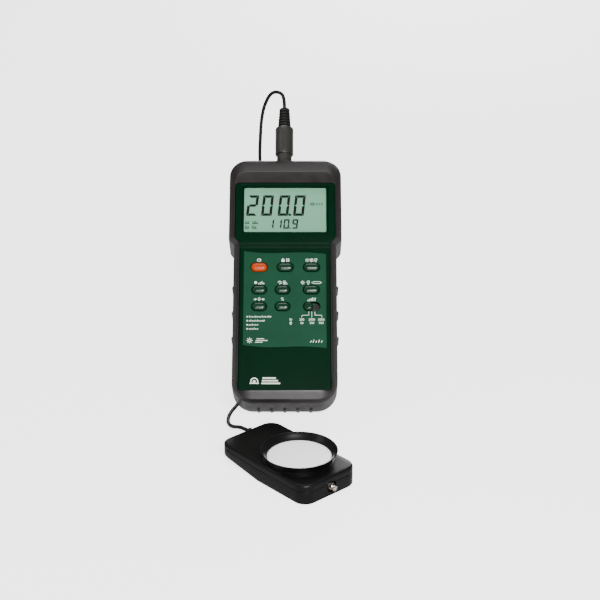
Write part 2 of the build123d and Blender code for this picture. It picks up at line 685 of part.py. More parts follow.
def tilt_stand(leg):
    """Leg with two rails and a window, modelled folded against the boot, hinge at top."""
    half = STAND_WIDTH / 2
    outline = Rectangle(STAND_WIDTH, leg, align=(Align.CENTER, Align.MAX))
    outline = fillet(outline.vertices().sort_by(Axis.Y)[:2], 6)
    window_high = -HINGE_BARREL - STAND_RAIL
    window_low = -leg + STAND_RAIL + FOOT_RADIUS
    window = RectangleRounded(STAND_WIDTH - 2 * STAND_RAIL, window_high - window_low, 4)
    plate = outline - Pos(0, (window_high + window_low) / 2) * window
    plate = Pos(0, HINGE_Z) * plate
    stand = across(plate, HINGE_Y - STAND_THICK / 2, HINGE_Y + STAND_THICK / 2)
    stand += rod_x(HINGE_Y, HINGE_Z, HINGE_BARREL, -half, half)
    stand -= rod_x(HINGE_Y, HINGE_Z, HINGE_PIN_RADIUS + HINGE_FIT, -half - 1, half + 1)
    return stand - stand_foot_rods(leg, FOOT_RADIUS + 0.02)


def stand_foot_rods(leg, radius):
    """The two round feet at the leg's tip, on the folded stand."""
    z = HINGE_Z - leg
    half = STAND_WIDTH / 2
    feet = [rod_x(HINGE_Y, z, radius, x, x + 10) for x in (-half + 3, half - 13)]
    return feet[0] + feet[1]


def open_stand(part):
    """Swings a piece of the folded stand out about the hinge pin."""
    return Pos(0, HINGE_Y, HINGE_Z) * Rot(X=STAND_OPEN) * Pos(0, -HINGE_Y, -HINGE_Z) * part


# ----------------------------------------------------------------------------- sensor
def sensor_outline(inset):
    width = SENSOR_WIDTH - 2 * inset
    return RectangleRounded(SENSOR_LENGTH - 2 * inset, width, SENSOR_CORNER - inset)


def below(level_front, level_back, low=-5.0):
    """Space under a line that is level in front and climbs towards the cord end."""
    half = SENSOR_LENGTH / 2 + 1
    points = [(-half, low), (half, low), (half, level_front), (SENSOR_BEND_X, level_front), (-half, level_back)]
    side = make_face(Polyline(*points, close=True))
    return extrude(Plane.XZ.offset(-SENSOR_WIDTH) * side, amount=2 * SENSOR_WIDTH)


def sensor_block(inset, top):
    block_ = extrude(sensor_outline(inset), amount=top)
    return block_ - below(inset, SENSOR_RISE + inset)


def split_space(lift):
    return below(SENSOR_SPLIT_Z + lift, SENSOR_SPLIT_Z + SENSOR_SPLIT_RISE + lift)


def sensor_top_shell():
    shell = sensor_block(0, SENSOR_HEIGHT)
    shell = fillet(shell.faces().sort_by(Axis.Z)[-1].edges(), 1.2)
    shell -= split_space(0)
    room = sensor_block(SENSOR_WALL, SENSOR_HEIGHT - SENSOR_WALL)
    shell -= room
    shell -= Pos(COLLAR_X, 0, 0) * Cylinder(DISC_RADIUS - 2.5, 60)
    return shell - gland_hole()


def sensor_bottom_shell():
    shell = sensor_block(0, SENSOR_HEIGHT)
    shell &= split_space(-0.05)
    shell -= sensor_block(SENSOR_WALL, SENSOR_HEIGHT)
    for x, y in sensor_screw_places():
        shell += Pos(x, y, 0) * extrude(Circle(3.0), amount=6) - below(0, SENSOR_RISE)
        shell -= Pos(x, y, 0) * Cylinder(1.05, 40)
        shell -= Pos(x, y, 0) * Cylinder(2.2, 4)
    stud_face = SENSOR_LENGTH / 2
    shell -= rod_x(0, STUD_Z, STUD_RECESS_RADIUS, stud_face - STUD_RECESS, stud_face + 1) & Box(
        200, 200, 2 * (SENSOR_SPLIT_Z - 0.6)
    )
    shell -= rod_x(0, STUD_Z, STUD_RADIUS + 0.05, stud_face - 8, stud_face)
    return shell - gland_hole()


def sensor_screw_places():
    x, y = SENSOR_LENGTH / 2 - 7, SENSOR_WIDTH / 2 - 7
    return [(x, y), (x, -y)]


def sensor_screws():
    parts = []
    for x, y in sensor_screw_places():
        shank = extrude(Pos(x, y, 0.8) * Circle(1.0), amount=6.5)
        parts.append(shank + extrude(Pos(x, y, 0.3) * Circle(2.0), amount=1.5))
    return Compound(parts)


def gland_hole():
    end = -SENSOR_LENGTH / 2
    return rod_x(GLAND_Y, GLAND_Z, GLAND_RADIUS - 0.6, end - 1, end + 4)


def cord_gland():
    end = -SENSOR_LENGTH / 2
    gland = rod_x(GLAND_Y, GLAND_Z, GLAND_RADIUS - 0.65, end - 0.5, end + 3)
    return gland + rod_x(GLAND_Y, GLAND_Z, GLAND_RADIUS, end - GLAND_OUT, end - 0.05)


def diffuser_collar():
    base = SENSOR_HEIGHT + 0.05
    rim = SENSOR_HEIGHT + COLLAR_HEIGHT
    outline = Polyline(
        (DISC_RADIUS - 2.3, base),
        (COLLAR_NECK + 1.8, base),
        (COLLAR_NECK + 1.8, base + 1.0),
        (COLLAR_NECK + 0.6, base + 1.5),
        (COLLAR_NECK + 1.2, base + 2.6),
        (COLLAR_RIM, rim - 0.6),
        (COLLAR_RIM - 0.5, rim),
        (DISC_RADIUS + 0.2, base + DISC_LIFT),
        (DISC_RADIUS + 0.2, base + 1.2),
        (DISC_RADIUS - 2.3, base + 1.2),
        close=True,
    )
    collar = revolve(Plane.XZ * make_face(outline), Axis.Z)
    return Pos(COLLAR_X, 0, 0) * collar


def diffuser_disc():
    base = SENSOR_HEIGHT + 1.35
    disc = Pos(COLLAR_X, 0, base) * extrude(Circle(DISC_RADIUS), amount=DISC_LIFT - 0.9)
    return chamfer(disc.faces().sort_by(Axis.Z)[-1].edges(), 0.4)


def light_filter():
    top = SENSOR_HEIGHT - 0.3
    return Pos(COLLAR_X, 0, top - 2.4) * extrude(Circle(9), amount=2.4)


def photodiode():
    top = SENSOR_HEIGHT - 2.8
    diode = extrude(Pos(COLLAR_X, 0, top - 2) * Rectangle(13, 12), amount=2)
    return diode + extrude(Pos(COLLAR_X, 0, top - 0.2) * Circle(5), amount=0.15)


def sensor_board():
    low = 7.4
    board = extrude(Pos(COLLAR_X - 4, 0, low) * Rectangle(46, 36), amount=1.2)
    for x, y in sensor_screw_places():
        board -= Pos(x, y, 0) * Cylinder(3.4, 40)
    return board


def end_stud():
    face = SENSOR_LENGTH / 2
    stud = rod_x(0, STUD_Z, STUD_RADIUS, face - 6, face + STUD_OUT)
    return chamfer(stud.edges().filter_by(GeomType.CIRCLE).sort_by(Axis.X)[-1], 0.3)


# ------------------------------------------------------------------------------- cord
def route_radii(points):
    """Each arc's radius: 0.45 of the shorter run, over the tangent of half the turn."""
    spots = [Vector(*p) for p in points]
    runs = [b - a for a, b in zip(spots, spots[1:])]
    radii = []
    for before, after in zip(runs, runs[1:]):
        half_turn = math.radians(before.get_angle(after)) / 2
        radii.append(0.45 * min(before.length, after.length) / math.tan(half_turn))
    return radii


def cord_tube(name, points):
    """Round tube along straight runs and tangent arcs. Returns it and its length."""
    radii = route_radii(points)
    path = FilletPolyline(*points, radius=radii)
    start = Plane(origin=path @ 0, z_dir=path % 0)
    tube = sweep(start * Circle(CORD / 2), path=path)
    section = math.pi * (CORD / 2) ** 2
    print(name, "radii", [round(r, 1) for r in radii])
    print(name, "length", round(path.length, 1), "volume ratio", tube.volume / section / path.length)
    return tube


def cord_coil():
    ring = Pos(COIL_TURN_RADIUS, TIE_THICK + 0.05 + COIL_HEIGHT / 2) * Rectangle(
        2 * COIL_HALF_WIDTH, COIL_HEIGHT
    )
    ring = fillet(ring.vertices(), 1.3)
    return Pos(*COIL_CENTRE, 0) * revolve(Plane.XZ * ring, Axis.Z)


def coil_tie():
    """Flat band round the coil's turns, on the side away from where the cord comes in."""
    width, height = 2 * COIL_HALF_WIDTH + 1.0, COIL_HEIGHT + 0.1
    outer = Rectangle(width + 2 * TIE_THICK, height + 2 * TIE_THICK)
    band = fillet(outer.vertices(), 0.5) - Rectangle(width, height)
    middle = TIE_THICK + 0.05 + COIL_HEIGHT / 2
    band = Plane.XZ.offset(-TIE_WIDTH / 2) * Pos(COIL_TURN_RADIUS, middle) * band
    band = extrude(band, amount=TIE_WIDTH)
    return Pos(*COIL_CENTRE, 0) * Rot(Z=20) * band


# --------------------------------------------------------------------------- assembly
def meter_parts():
    """Every piece of the meter, upright, and the height of its origin when it leans."""
    boot = protective_boot()
    height = -(Rot(X=-LEAN) * boot).bounding_box().min.Z
    leg = stand_leg_length(height)
    trimmer, rotor = trimmer_parts()
    parts = {
        "protective_boot": boot,
        "front_cover": front_cover(),
        "rear_cover": rear_cover(),
        "battery_cover": battery_cover(),
        "keypad_label": keypad_label(),
        "lcd_window": lcd_window(),
        "lcd_glass": lcd_glass(),
        "lcd_frame": lcd_frame(),
        "contact_strips": contact_strips(),
        "main_board": main_board(),
        "key_switches": key_switches(),
        "range_switch": range_switch(),
        "range_knob": range_knob(),
        "contrast_trimmer": trimmer,
        "trimmer_rotor": rotor,
        "output_jack": output_jack(),
        "sensor_socket": sensor_socket(),
        "battery": battery_block(),
        "battery_snap": battery_snap(),
        "case_screws": screws(CASE_SCREW_X, CASE_SCREW_Z, CASE_RIM_Y + 3, PARTING_Y + 5),
        "board_screws": screws(BOARD_SCREW_X, BOARD_SCREW_Z, CASE_RIM_Y + 2, BOARD_Y + BOARD_THICK),
        "stand_pin": stand_pin(),
        "tilt_stand": open_stand(tilt_stand(leg)),
        "stand_feet": open_stand(stand_foot_rods(leg, FOOT_RADIUS)),
        "plug_nose": plug_nose(),
        "plug_insert": plug_insert(),
        "plug_pins": plug_pins(),
        "plug_shell": plug_shell(),
        "plug_strain_relief": plug_strain_relief(),
    }
    for name, place in KEYS.items():
        parts[name] = key_cap(*place)
    return parts, height


def sensor_parts():
    return {
        "sensor_top_shell": sensor_top_shell(),
        "sensor_bottom_shell": sensor_bottom_shell(),
        "cord_gland": cord_gland(),
        "diffuser_collar": diffuser_collar(),
        "diffuser_disc": diffuser_disc(),
        "light_filter": light_filter(),
        "photodiode": photodiode(),
        "sensor_board": sensor_board(),
        "sensor_screws": sensor_screws(),
        "end_stud": end_stud(),
    }


PLUG_NODES = ("plug_nose", "plug_insert", "plug_pins", "plug_shell", "plug_strain_relief")


def build():
    upright, height = meter_parts()
    meter_place = Pos(0, 0, height) * Rot(X=-LEAN)
    sensor_place = Pos(*SENSOR_FROM_METER, 0) * Rot(Z=SENSOR_TURN)
    placed = {name: meter_place * part for name, part in upright.items()}
    placed.update({name: sensor_place * part for name, part in sensor_parts().items()})
    own = [part for name, part in placed.items() if name not in PLUG_NODES]
    box = Compound(own).bounding_box()
    shift = Pos(-(box.min.X + box.max.X) / 2, -(box.min.Y + box.max.Y) / 2, 0)
    placed = {name: shift * part for name, part in placed.items()}
    meter_frame = shift * meter_place
    sensor_frame = shift * sensor_place
    plug_end = meter_frame * Pos(SOCKET_X, PARTING_Y, RELIEF_HIGH_Z)
    gland_end = sensor_frame * Pos(-SENSOR_LENGTH / 2 - GLAND_OUT, GLAND_Y, GLAND_Z)
    plug_exit = (plug_end * Pos(0, 0, UPPER_STRAIGHT)).position
    gland_exit = (gland_end * Pos(-LOWER_STRAIGHT, 0, 0)).position
    coil_x, coil_y = COIL_CENTRE
    entry = (coil_x, coil_y + COIL_TURN_RADIUS, 2.4)
    leave = (coil_x, coil_y - COIL_TURN_RADIUS, 2.4)
    upper = [tuple(plug_end.position), tuple(plug_exit), *UPPER_ROUTE, entry]
    lower = [leave, *LOWER_ROUTE, tuple(gland_exit), tuple(gland_end.position)]
    placed["cord_upper"] = cord_tube("cord_upper", upper)
    placed["cord_lower"] = cord_tube("cord_lower", lower)
    placed["cord_coil"] = cord_coil()
    placed["coil_tie"] = coil_tie()
    print("upper route", [tuple(round(v, 2) for v in p) for p in upper])
    print("lower route", [tuple(round(v, 2) for v in p) for p in lower])
    report_places(meter_frame, sensor_frame)
    return placed


def report_places(meter_frame, sensor_frame):
    """Prints the places that the record and the visual model need."""
    print("meter origin", meter_frame.position)
    print("sensor origin", sensor_frame.position)
    jack_mouth = BOOT_HEAD_WIDTH / 2 - BOOT_WALL - FIT - 0.2
    print("jack mouth", (meter_frame * Pos(jack_mouth, PARTING_Y, JACK_Z)).position)
    print("hinge", (meter_frame * Pos(0, HINGE_Y, HINGE_Z)).position)
    print("trimmer", (meter_frame * Pos(-BOOT_BODY_WIDTH / 2, TRIMMER_Y, TRIMMER_Z)).position)
    stud = (sensor_frame * Pos(SENSOR_LENGTH / 2 + STUD_OUT / 2, 0, STUD_Z)).position
    print("stud", stud, "sensor base", (sensor_frame * Pos(COLLAR_X, 0, 0)).position)


os.makedirs("parts", exist_ok=True)
for node, shape in build().items():
    shape.label = node
    export_step(shape, f"parts/{node}.step")
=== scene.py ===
"""Hand-held light meter on its tilt stand, with its wedge sensor and sensor cord."""

from __future__ import annotations

import json
import logging
import math
from dataclasses import dataclass
from enum import Enum
from typing import Iterable, Sequence

import bmesh
import bpy
from mathutils import Matrix, Vector


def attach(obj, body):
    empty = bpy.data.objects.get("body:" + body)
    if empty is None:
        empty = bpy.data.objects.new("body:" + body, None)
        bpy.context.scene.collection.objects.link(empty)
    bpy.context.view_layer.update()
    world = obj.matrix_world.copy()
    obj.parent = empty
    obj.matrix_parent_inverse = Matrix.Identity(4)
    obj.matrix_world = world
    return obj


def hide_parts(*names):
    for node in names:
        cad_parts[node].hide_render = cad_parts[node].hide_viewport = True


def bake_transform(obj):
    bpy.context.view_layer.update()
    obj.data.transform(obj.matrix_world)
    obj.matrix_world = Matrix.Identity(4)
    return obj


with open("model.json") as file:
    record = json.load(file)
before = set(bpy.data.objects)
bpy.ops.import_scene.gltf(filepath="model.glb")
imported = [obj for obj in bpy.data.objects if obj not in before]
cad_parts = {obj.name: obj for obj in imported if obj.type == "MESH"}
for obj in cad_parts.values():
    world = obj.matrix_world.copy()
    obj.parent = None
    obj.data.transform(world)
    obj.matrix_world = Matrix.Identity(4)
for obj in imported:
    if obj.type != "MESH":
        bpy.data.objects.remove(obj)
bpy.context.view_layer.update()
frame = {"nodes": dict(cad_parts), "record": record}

LOG = logging.getLogger("light_meter")

METER_FOOT = (-0.00198863, -0.0273044, 0.025538)
METER_LEAN = math.radians(-42.0)
SENSOR_SPOT = (0.000511369, -0.0803044, 0.0)
SENSOR_TURN = math.radians(-48.0)

# METER has +Z along the meter and +Y towards its back. FACE has +Y along it and +Z out of its front.
MM = Matrix.Scale(0.001, 4)
METER = Matrix.Translation(METER_FOOT) @ Matrix.Rotation(METER_LEAN, 4, "X") @ MM
FACE = METER @ Matrix.Rotation(math.radians(90.0), 4, "X")
SENSOR = Matrix.Translation(SENSOR_SPOT) @ Matrix.Rotation(SENSOR_TURN, 4, "Z") @ MM

Pair = tuple[float, float]
Corner = tuple[float, float, float]
Colour = tuple[float, float, float, float]
Socket = bpy.types.NodeSocket


class Action(Enum):
    """What a boolean tool does to the piece."""

    CUT = "DIFFERENCE"
    JOIN = "UNION"
    KEEP = "INTERSECT"


class Glyph(Enum):
    """Signs printed above the keys and the slide, in the keypad's order."""

    POWER = "power"
    HOLD = "hold"
    UNITS = "units"
    RECORD = "record"
    RECALL = "recall"
    LAMPS = "lamps"
    ZERO = "zero"
    PERCENT = "percent"
    RANGE = "range"


# ---------------------------------------------------------------------- finishes
def paint(red: int, green: int, blue: int) -> Colour:
    """Linear colour from three display values.

    Args:
        red: Red, 0 to 255.
        green: Green, 0 to 255.
        blue: Blue, 0 to 255.

    Returns:
        The linear colour with full alpha.
    """
    def linear(value: int) -> float:
        """One channel, made linear."""
        share = value / 255.0
        return share / 12.92 if share <= 0.04045 else ((share + 0.055) / 1.055) ** 2.4

    return (linear(red), linear(green), linear(blue), 1.0)


def shade(colour: Colour, factor: float) -> Colour:
    """The colour made lighter or darker.

    Args:
        colour: A linear colour.
        factor: What each channel is multiplied by.

    Returns:
        The new colour.
    """
    return tuple(min(1.0, channel * factor) for channel in colour[:3]) + (1.0,)


class Nodes:
    """A new material's node tree, with short calls for the nodes that the finishes share."""

    def __init__(self, name: str) -> None:
        """Starts a material.

        Args:
            name: The material's name.
        """
        self.material = bpy.data.materials.new(name)
        self.material.use_nodes = True
        self.tree = self.material.node_tree
        self.shader = self.tree.nodes["Principled BSDF"]
        self.place = self.tree.nodes.new("ShaderNodeTexCoord").outputs["Object"]

    def noise(
        self, scale: float, detail: float = 3.0, stretch: Sequence[float] = (1, 1, 1)
    ) -> Socket:
        """Noise on the object's own coordinates.

        Args:
            scale: Waves per metre.
            detail: Octaves.
            stretch: Factors along x, y and z.

        Returns:
            The noise's value socket.
        """
        mapping = self.tree.nodes.new("ShaderNodeMapping")
        mapping.inputs["Scale"].default_value = stretch
        self.tree.links.new(self.place, mapping.inputs["Vector"])
        node = self.tree.nodes.new("ShaderNodeTexNoise")
        node.inputs["Scale"].default_value = scale
        node.inputs["Detail"].default_value = detail
        self.tree.links.new(mapping.outputs["Vector"], node.inputs["Vector"])
        return node.outputs["Fac"]

    def ramp(self, value: Socket, low: float, high: float, at: Pair = (0.3, 0.7)) -> Socket:
        """Maps a value to a range.

        Args:
            value: The socket to map.
            low: Result at the lower limit.
            high: Result at the upper limit.
            at: The two limits.

        Returns:
            The result socket.
        """
        node = self.tree.nodes.new("ShaderNodeMapRange")
        node.inputs["From Min"].default_value = at[0]
        node.inputs["From Max"].default_value = at[1]
        node.inputs["To Min"].default_value = low
        node.inputs["To Max"].default_value = high
        self.tree.links.new(value, node.inputs["Value"])
        return node.outputs["Result"]

    def blend(self, value: Socket, first: Colour, second: Colour) -> Socket:
        """Mixes two colours by a value.

        Args:
            value: The factor socket.
            first: Colour at 0.
            second: Colour at 1.

        Returns:
            The colour socket.
        """
        node = self.tree.nodes.new("ShaderNodeMix")
        node.data_type = "RGBA"
        colour = [s for s in node.inputs if s.type == "RGBA"]
        colour[0].default_value, colour[1].default_value = first, second
        self.tree.links.new(value, node.inputs["Factor"])
        return [s for s in node.outputs if s.type == "RGBA"][0]

    def bump(self, height: Socket, depth_mm: float) -> None:
        """Raises the surface by a height pattern.

        Args:
            height: The height socket.
            depth_mm: Depth of the pattern.
        """
        node = self.tree.nodes.new("ShaderNodeBump")
        node.inputs["Distance"].default_value = depth_mm / 1000.0
        node.inputs["Strength"].default_value = 1.0
        self.tree.links.new(height, node.inputs["Height"])
        self.tree.links.new(node.outputs["Normal"], self.shader.inputs["Normal"])

    def feed(self, name: str, value: Socket | float | Sequence[float]) -> None:
        """Links a socket to the shader or sets its number.

        Args:
            name: The shader's input.
            value: A socket, a number or a colour.
        """
        if isinstance(value, bpy.types.NodeSocket):
            self.tree.links.new(value, self.shader.inputs[name])
        else:
            self.shader.inputs[name].default_value = value


@dataclass(frozen=True)
class Moulded:
    """Moulded plastic or rubber: a fine spark grain, slightly clouded colour and uneven gloss."""

    name: str
    colour: Colour
    roughness: float
    grain_mm: float = 0.5
    grain_depth_mm: float = 0.02
    clouding: float = 0.12
    specular: float = 0.5
    coat: float = 0.0
    wear: float = 0.055
    cloud_scale: float = 45.0
    rub_scale: float = 160.0
    coat_roughness: float = 0.12

    def build(self) -> bpy.types.Material:
        """Makes the material.

        Returns:
            The new material.
        """
        nodes = Nodes(self.name)
        clouds = nodes.noise(self.cloud_scale, 4.0)
        low, high = shade(self.colour, 1 - self.clouding), shade(self.colour, 1 + self.clouding)
        nodes.feed("Base Color", nodes.blend(nodes.ramp(clouds, 0.0, 1.0), low, high))
        rubbed = nodes.noise(self.rub_scale, 5.0)
        low, high = self.roughness - self.wear, self.roughness + self.wear
        nodes.feed("Roughness", nodes.ramp(rubbed, low, high))
        nodes.feed("Specular IOR Level", self.specular)
        nodes.feed("Coat Weight", self.coat)
        nodes.feed("Coat Roughness", self.coat_roughness)
        nodes.bump(nodes.noise(1000.0 / self.grain_mm, 2.0), self.grain_depth_mm)
        return nodes.material


@dataclass(frozen=True)
class Turned:
    """Plated or bare metal with fine turning marks."""

    name: str
    colour: Colour
    roughness: float = 0.22
    tarnish_scale: float = 220.0
    mark_scale: float = 2600.0
    mark_stretch: Corner = (1.0, 1.0, 0.15)

    def build(self) -> bpy.types.Material:
        """Makes the material.

        Returns:
            The new material.
        """
        nodes = Nodes(self.name)
        tarnish = nodes.ramp(nodes.noise(self.tarnish_scale, 4.0), 0.0, 1.0)
        nodes.feed("Base Color", nodes.blend(tarnish, shade(self.colour, 0.86), self.colour))
        nodes.feed("Metallic", 1.0)
        marks = nodes.noise(self.mark_scale, 2.0, self.mark_stretch)
        nodes.feed("Roughness", nodes.ramp(marks, self.roughness - 0.07, self.roughness + 0.08))
        nodes.bump(marks, 0.004)
        return nodes.material


@dataclass(frozen=True)
class ClearLens:
    """Thin clear window with a faint gloss."""

    name: str
    tint: Colour
    alpha: float = 0.07

    def build(self) -> bpy.types.Material:
        """Makes the material.

        Returns:
            The new material.
        """
        nodes = Nodes(self.name)
        nodes.feed("Base Color", self.tint)
        nodes.feed("Roughness", nodes.ramp(nodes.noise(90.0), 0.03, 0.07))
        nodes.feed("Alpha", self.alpha)
        return nodes.material


@dataclass(frozen=True)
class Ink:
    """Printed ink or a display segment: flat colour with a slightly uneven film."""

    name: str
    colour: Colour
    roughness: float = 0.45
    film_scale: float = 900.0
    specular: float = 0.1

    def build(self) -> bpy.types.Material:
        """Makes the material.

        Returns:
            The new material.
        """
        nodes = Nodes(self.name)
        film = nodes.ramp(nodes.noise(self.film_scale, 4.0), 0.0, 1.0)
        nodes.feed("Base Color", nodes.blend(film, shade(self.colour, 0.9), self.colour))
        nodes.feed("Roughness", self.roughness)
        nodes.feed("Specular IOR Level", self.specular)
        return nodes.material


@dataclass(frozen=True)
class DisplayCell:
    """Liquid crystal cell: grey-green, a little paler in places, with a silky gloss."""

    name: str
    dark: Colour
    light: Colour
    drift_scale: float = 14.0
    silk_scale: float = 1500.0

    def build(self) -> bpy.types.Material:
        """Makes the material.

        Returns:
            The new material.
        """
        nodes = Nodes(self.name)
        drift = nodes.ramp(nodes.noise(self.drift_scale, 1.0), 0.0, 1.0)
        nodes.feed("Base Color", nodes.blend(drift, self.dark, self.light))
        nodes.feed("Roughness", nodes.ramp(nodes.noise(self.silk_scale, 2.0), 0.42, 0.52))
        nodes.feed("Specular IOR Level", 0.3)
        return nodes.material


@dataclass(frozen=True)
class Opal:
    """Diffusing white plastic."""

    name: str
    colour: Colour
    cloud_scale: float = 60.0
    rub_scale: float = 700.0
    grain_scale: float = 2500.0
    glow_reach: Corner = (0.004, 0.004, 0.004)

    def build(self) -> bpy.types.Material:
        """Makes the material.

        Returns:
            The new material.
        """
        nodes = Nodes(self.name)
        clouds = nodes.ramp(nodes.noise(self.cloud_scale, 2.0), 0.0, 1.0)
        nodes.feed("Base Color", nodes.blend(clouds, shade(self.colour, 0.985), self.colour))
        nodes.feed("Roughness", nodes.ramp(nodes.noise(self.rub_scale, 3.0), 0.38, 0.5))
        nodes.feed("Subsurface Weight", 0.15)
        nodes.feed("Subsurface Radius", self.glow_reach)
        nodes.feed("Subsurface Scale", 0.3)
        nodes.bump(nodes.noise(self.grain_scale, 2.0), 0.005)
        return nodes.material


@dataclass(frozen=True)
class CircuitBoard:
    """Solder mask over copper tracks."""

    name: str
    mask: Colour
    track: Colour
    track_scale: float = 260.0

    def build(self) -> bpy.types.Material:
        """Makes the material.

        Returns:
            The new material.
        """
        nodes = Nodes(self.name)
        cells = nodes.tree.nodes.new("ShaderNodeTexVoronoi")
        cells.distance = "MANHATTAN"
        cells.feature = "F1"
        cells.inputs["Scale"].default_value = self.track_scale
        nodes.tree.links.new(nodes.place, cells.inputs["Vector"])
        tracks = nodes.ramp(cells.outputs["Distance"], 0.0, 1.0, (0.42, 0.5))
        nodes.feed("Base Color", nodes.blend(tracks, self.mask, self.track))
        nodes.feed("Roughness", nodes.ramp(nodes.noise(300.0), 0.3, 0.42))
        nodes.bump(tracks, 0.03)
        return nodes.material


@dataclass(frozen=True)
class WovenStrap:
    """Hook-and-loop strap: a tight weave with a soft nap."""

    name: str
    colour: Colour
    rib_scale: float = 420.0

    def build(self) -> bpy.types.Material:
        """Makes the material.

        Returns:
            The new material.
        """
        nodes = Nodes(self.name)
        ribs = nodes.tree.nodes.new("ShaderNodeTexWave")
        ribs.inputs["Scale"].default_value = self.rib_scale
        ribs.inputs["Distortion"].default_value = 1.5
        nodes.tree.links.new(nodes.place, ribs.inputs["Vector"])
        colour = nodes.blend(ribs.outputs["Fac"], shade(self.colour, 0.6), shade(self.colour, 1.5))
        nodes.feed("Base Color", colour)
        nodes.feed("Roughness", nodes.ramp(nodes.noise(1200.0), 0.8, 0.95))
        nodes.feed("Sheen Weight", 0.3)
        nodes.bump(ribs.outputs["Fac"], 0.12)
        return nodes.material


GREEN_DARK = paint(0, 24, 11)
GREEN_LABEL = paint(13, 51, 34)
BOOT_BROWN = paint(22, 18, 18)

FINISHES = {
    finish.name: finish
    for finish in (
        Moulded("boot_rubber", BOOT_BROWN, 0.38, 0.45, 0.02, 0.12, 0.35),
        Moulded("cover_green", GREEN_DARK, 0.45, 0.4, 0.02, 0.12, 0.03),
        Moulded("label_green", GREEN_LABEL, 0.45, 0.3, 0.012, 0.1, 0.08),
        Moulded("rear_dark", paint(24, 23, 24), 0.45, 0.5, 0.04, 0.12, 0.3),
        Moulded("frame_white", paint(150, 150, 146), 0.5),
        Moulded("strip_rubber", paint(110, 110, 114), 0.6),
        Moulded("part_black", paint(18, 18, 18), 0.42, 0.5, 0.02, 0.12, 0.3),
        Moulded("trimmer_blue", paint(24, 56, 110), 0.4),
        Moulded("battery_can", paint(40, 42, 50), 0.3, 0.8, 0.01, 0.2, 0.5, 0.4),
        Moulded("key_green", paint(2, 36, 19), 0.2, 0.6, 0.002, 0.08, 0.3),
        Moulded("key_orange", paint(146, 46, 2), 0.26, 0.6, 0.002, 0.05, 0.22),
        Moulded("stand_black", paint(22, 21, 22), 0.45, 0.5, 0.04, 0.12, 0.3),
        Moulded("foot_rubber", paint(16, 16, 16), 0.7, 0.4, 0.03, 0.12, 0.25),
        Moulded("plug_black", paint(28, 27, 24), 0.34, 0.4, 0.004, 0.1, 0.6),
        Moulded("relief_rubber", paint(15, 14, 13), 0.42, 0.4, 0.02, 0.12, 0.3),
        Moulded("cord_sheath", paint(20, 19, 18), 0.5, 0.5, 0.008, 0.1, 0.12),
        Moulded("sensor_black", paint(12, 11, 11), 0.34, 0.45, 0.003, 0.06, 0.12, 0.0, 0.015),
        Moulded("collar_black", paint(7, 7, 7), 0.3, 0.5, 0.003, 0.06, 0.2, 0.0, 0.02),
        Moulded("diode_grey", paint(40, 40, 50), 0.2),
        Turned("brass_parts", paint(212, 178, 110)),
        Turned("screw_steel", paint(170, 170, 174), 0.3),
        Turned("pin_nickel", paint(210, 204, 196), 0.18),
        Turned("stud_nickel", paint(200, 188, 178), 0.16),
        ClearLens("lens_clear", paint(14, 16, 15), 0.02),
        ClearLens("filter_glass", paint(130, 190, 140), 0.5),
        DisplayCell("lcd_grey", paint(88, 134, 108), paint(94, 142, 114)),
        Opal("diffuser_white", paint(252, 253, 255)),
        CircuitBoard("board_green", paint(12, 62, 30), paint(30, 96, 48)),
        WovenStrap("tie_fabric", paint(24, 24, 26)),
        Ink("print_white", paint(200, 208, 200)),
        Ink("segment_black", paint(1, 2, 1), 0.6),
    )
}


class Finishes:
    """Makes each finish once and hands it out by name."""

    def __init__(self) -> None:
        """Starts with nothing made."""
        self.made: dict[str, bpy.types.Material] = {}

    def get(self, name: str) -> bpy.types.Material:
        """The material of that name.

        Args:
            name: A key of FINISHES.

        Returns:
            The material, made on first use.
        """
        if name not in self.made:
            self.made[name] = FINISHES[name].build()
        return self.made[name]


SHOP = Finishes()


# ------------------------------------------------------------------------- stock
def new_object(name: str, data: bpy.types.ID) -> bpy.types.Object:
    """Makes an object and links it to the scene.

    Args:
        name: Its name.
        data: Its mesh, curve, camera or light.

    Returns:
        The object.
    """
    made = bpy.data.objects.new(name, data)
    bpy.context.scene.collection.objects.link(made)
    return made


def drop_object(item: bpy.types.Object, store: bpy.types.bpy_prop_collection) -> None:
    """Removes an object and its data.

    Args:
        item: The object.
        store: The collection that holds its data.
    """
    data = item.data
    bpy.data.objects.remove(item)
    store.remove(data)


def evaluated_mesh(item: bpy.types.Object) -> bpy.types.Mesh:
    """Makes a plain mesh of an object as its modifiers or its curve settings shape it.

    Args:
        item: The object.

    Returns:
        The new mesh.
    """
    bpy.context.view_layer.update()
    graph = bpy.context.evaluated_depsgraph_get()
    return bpy.data.meshes.new_from_object(item.evaluated_get(graph))


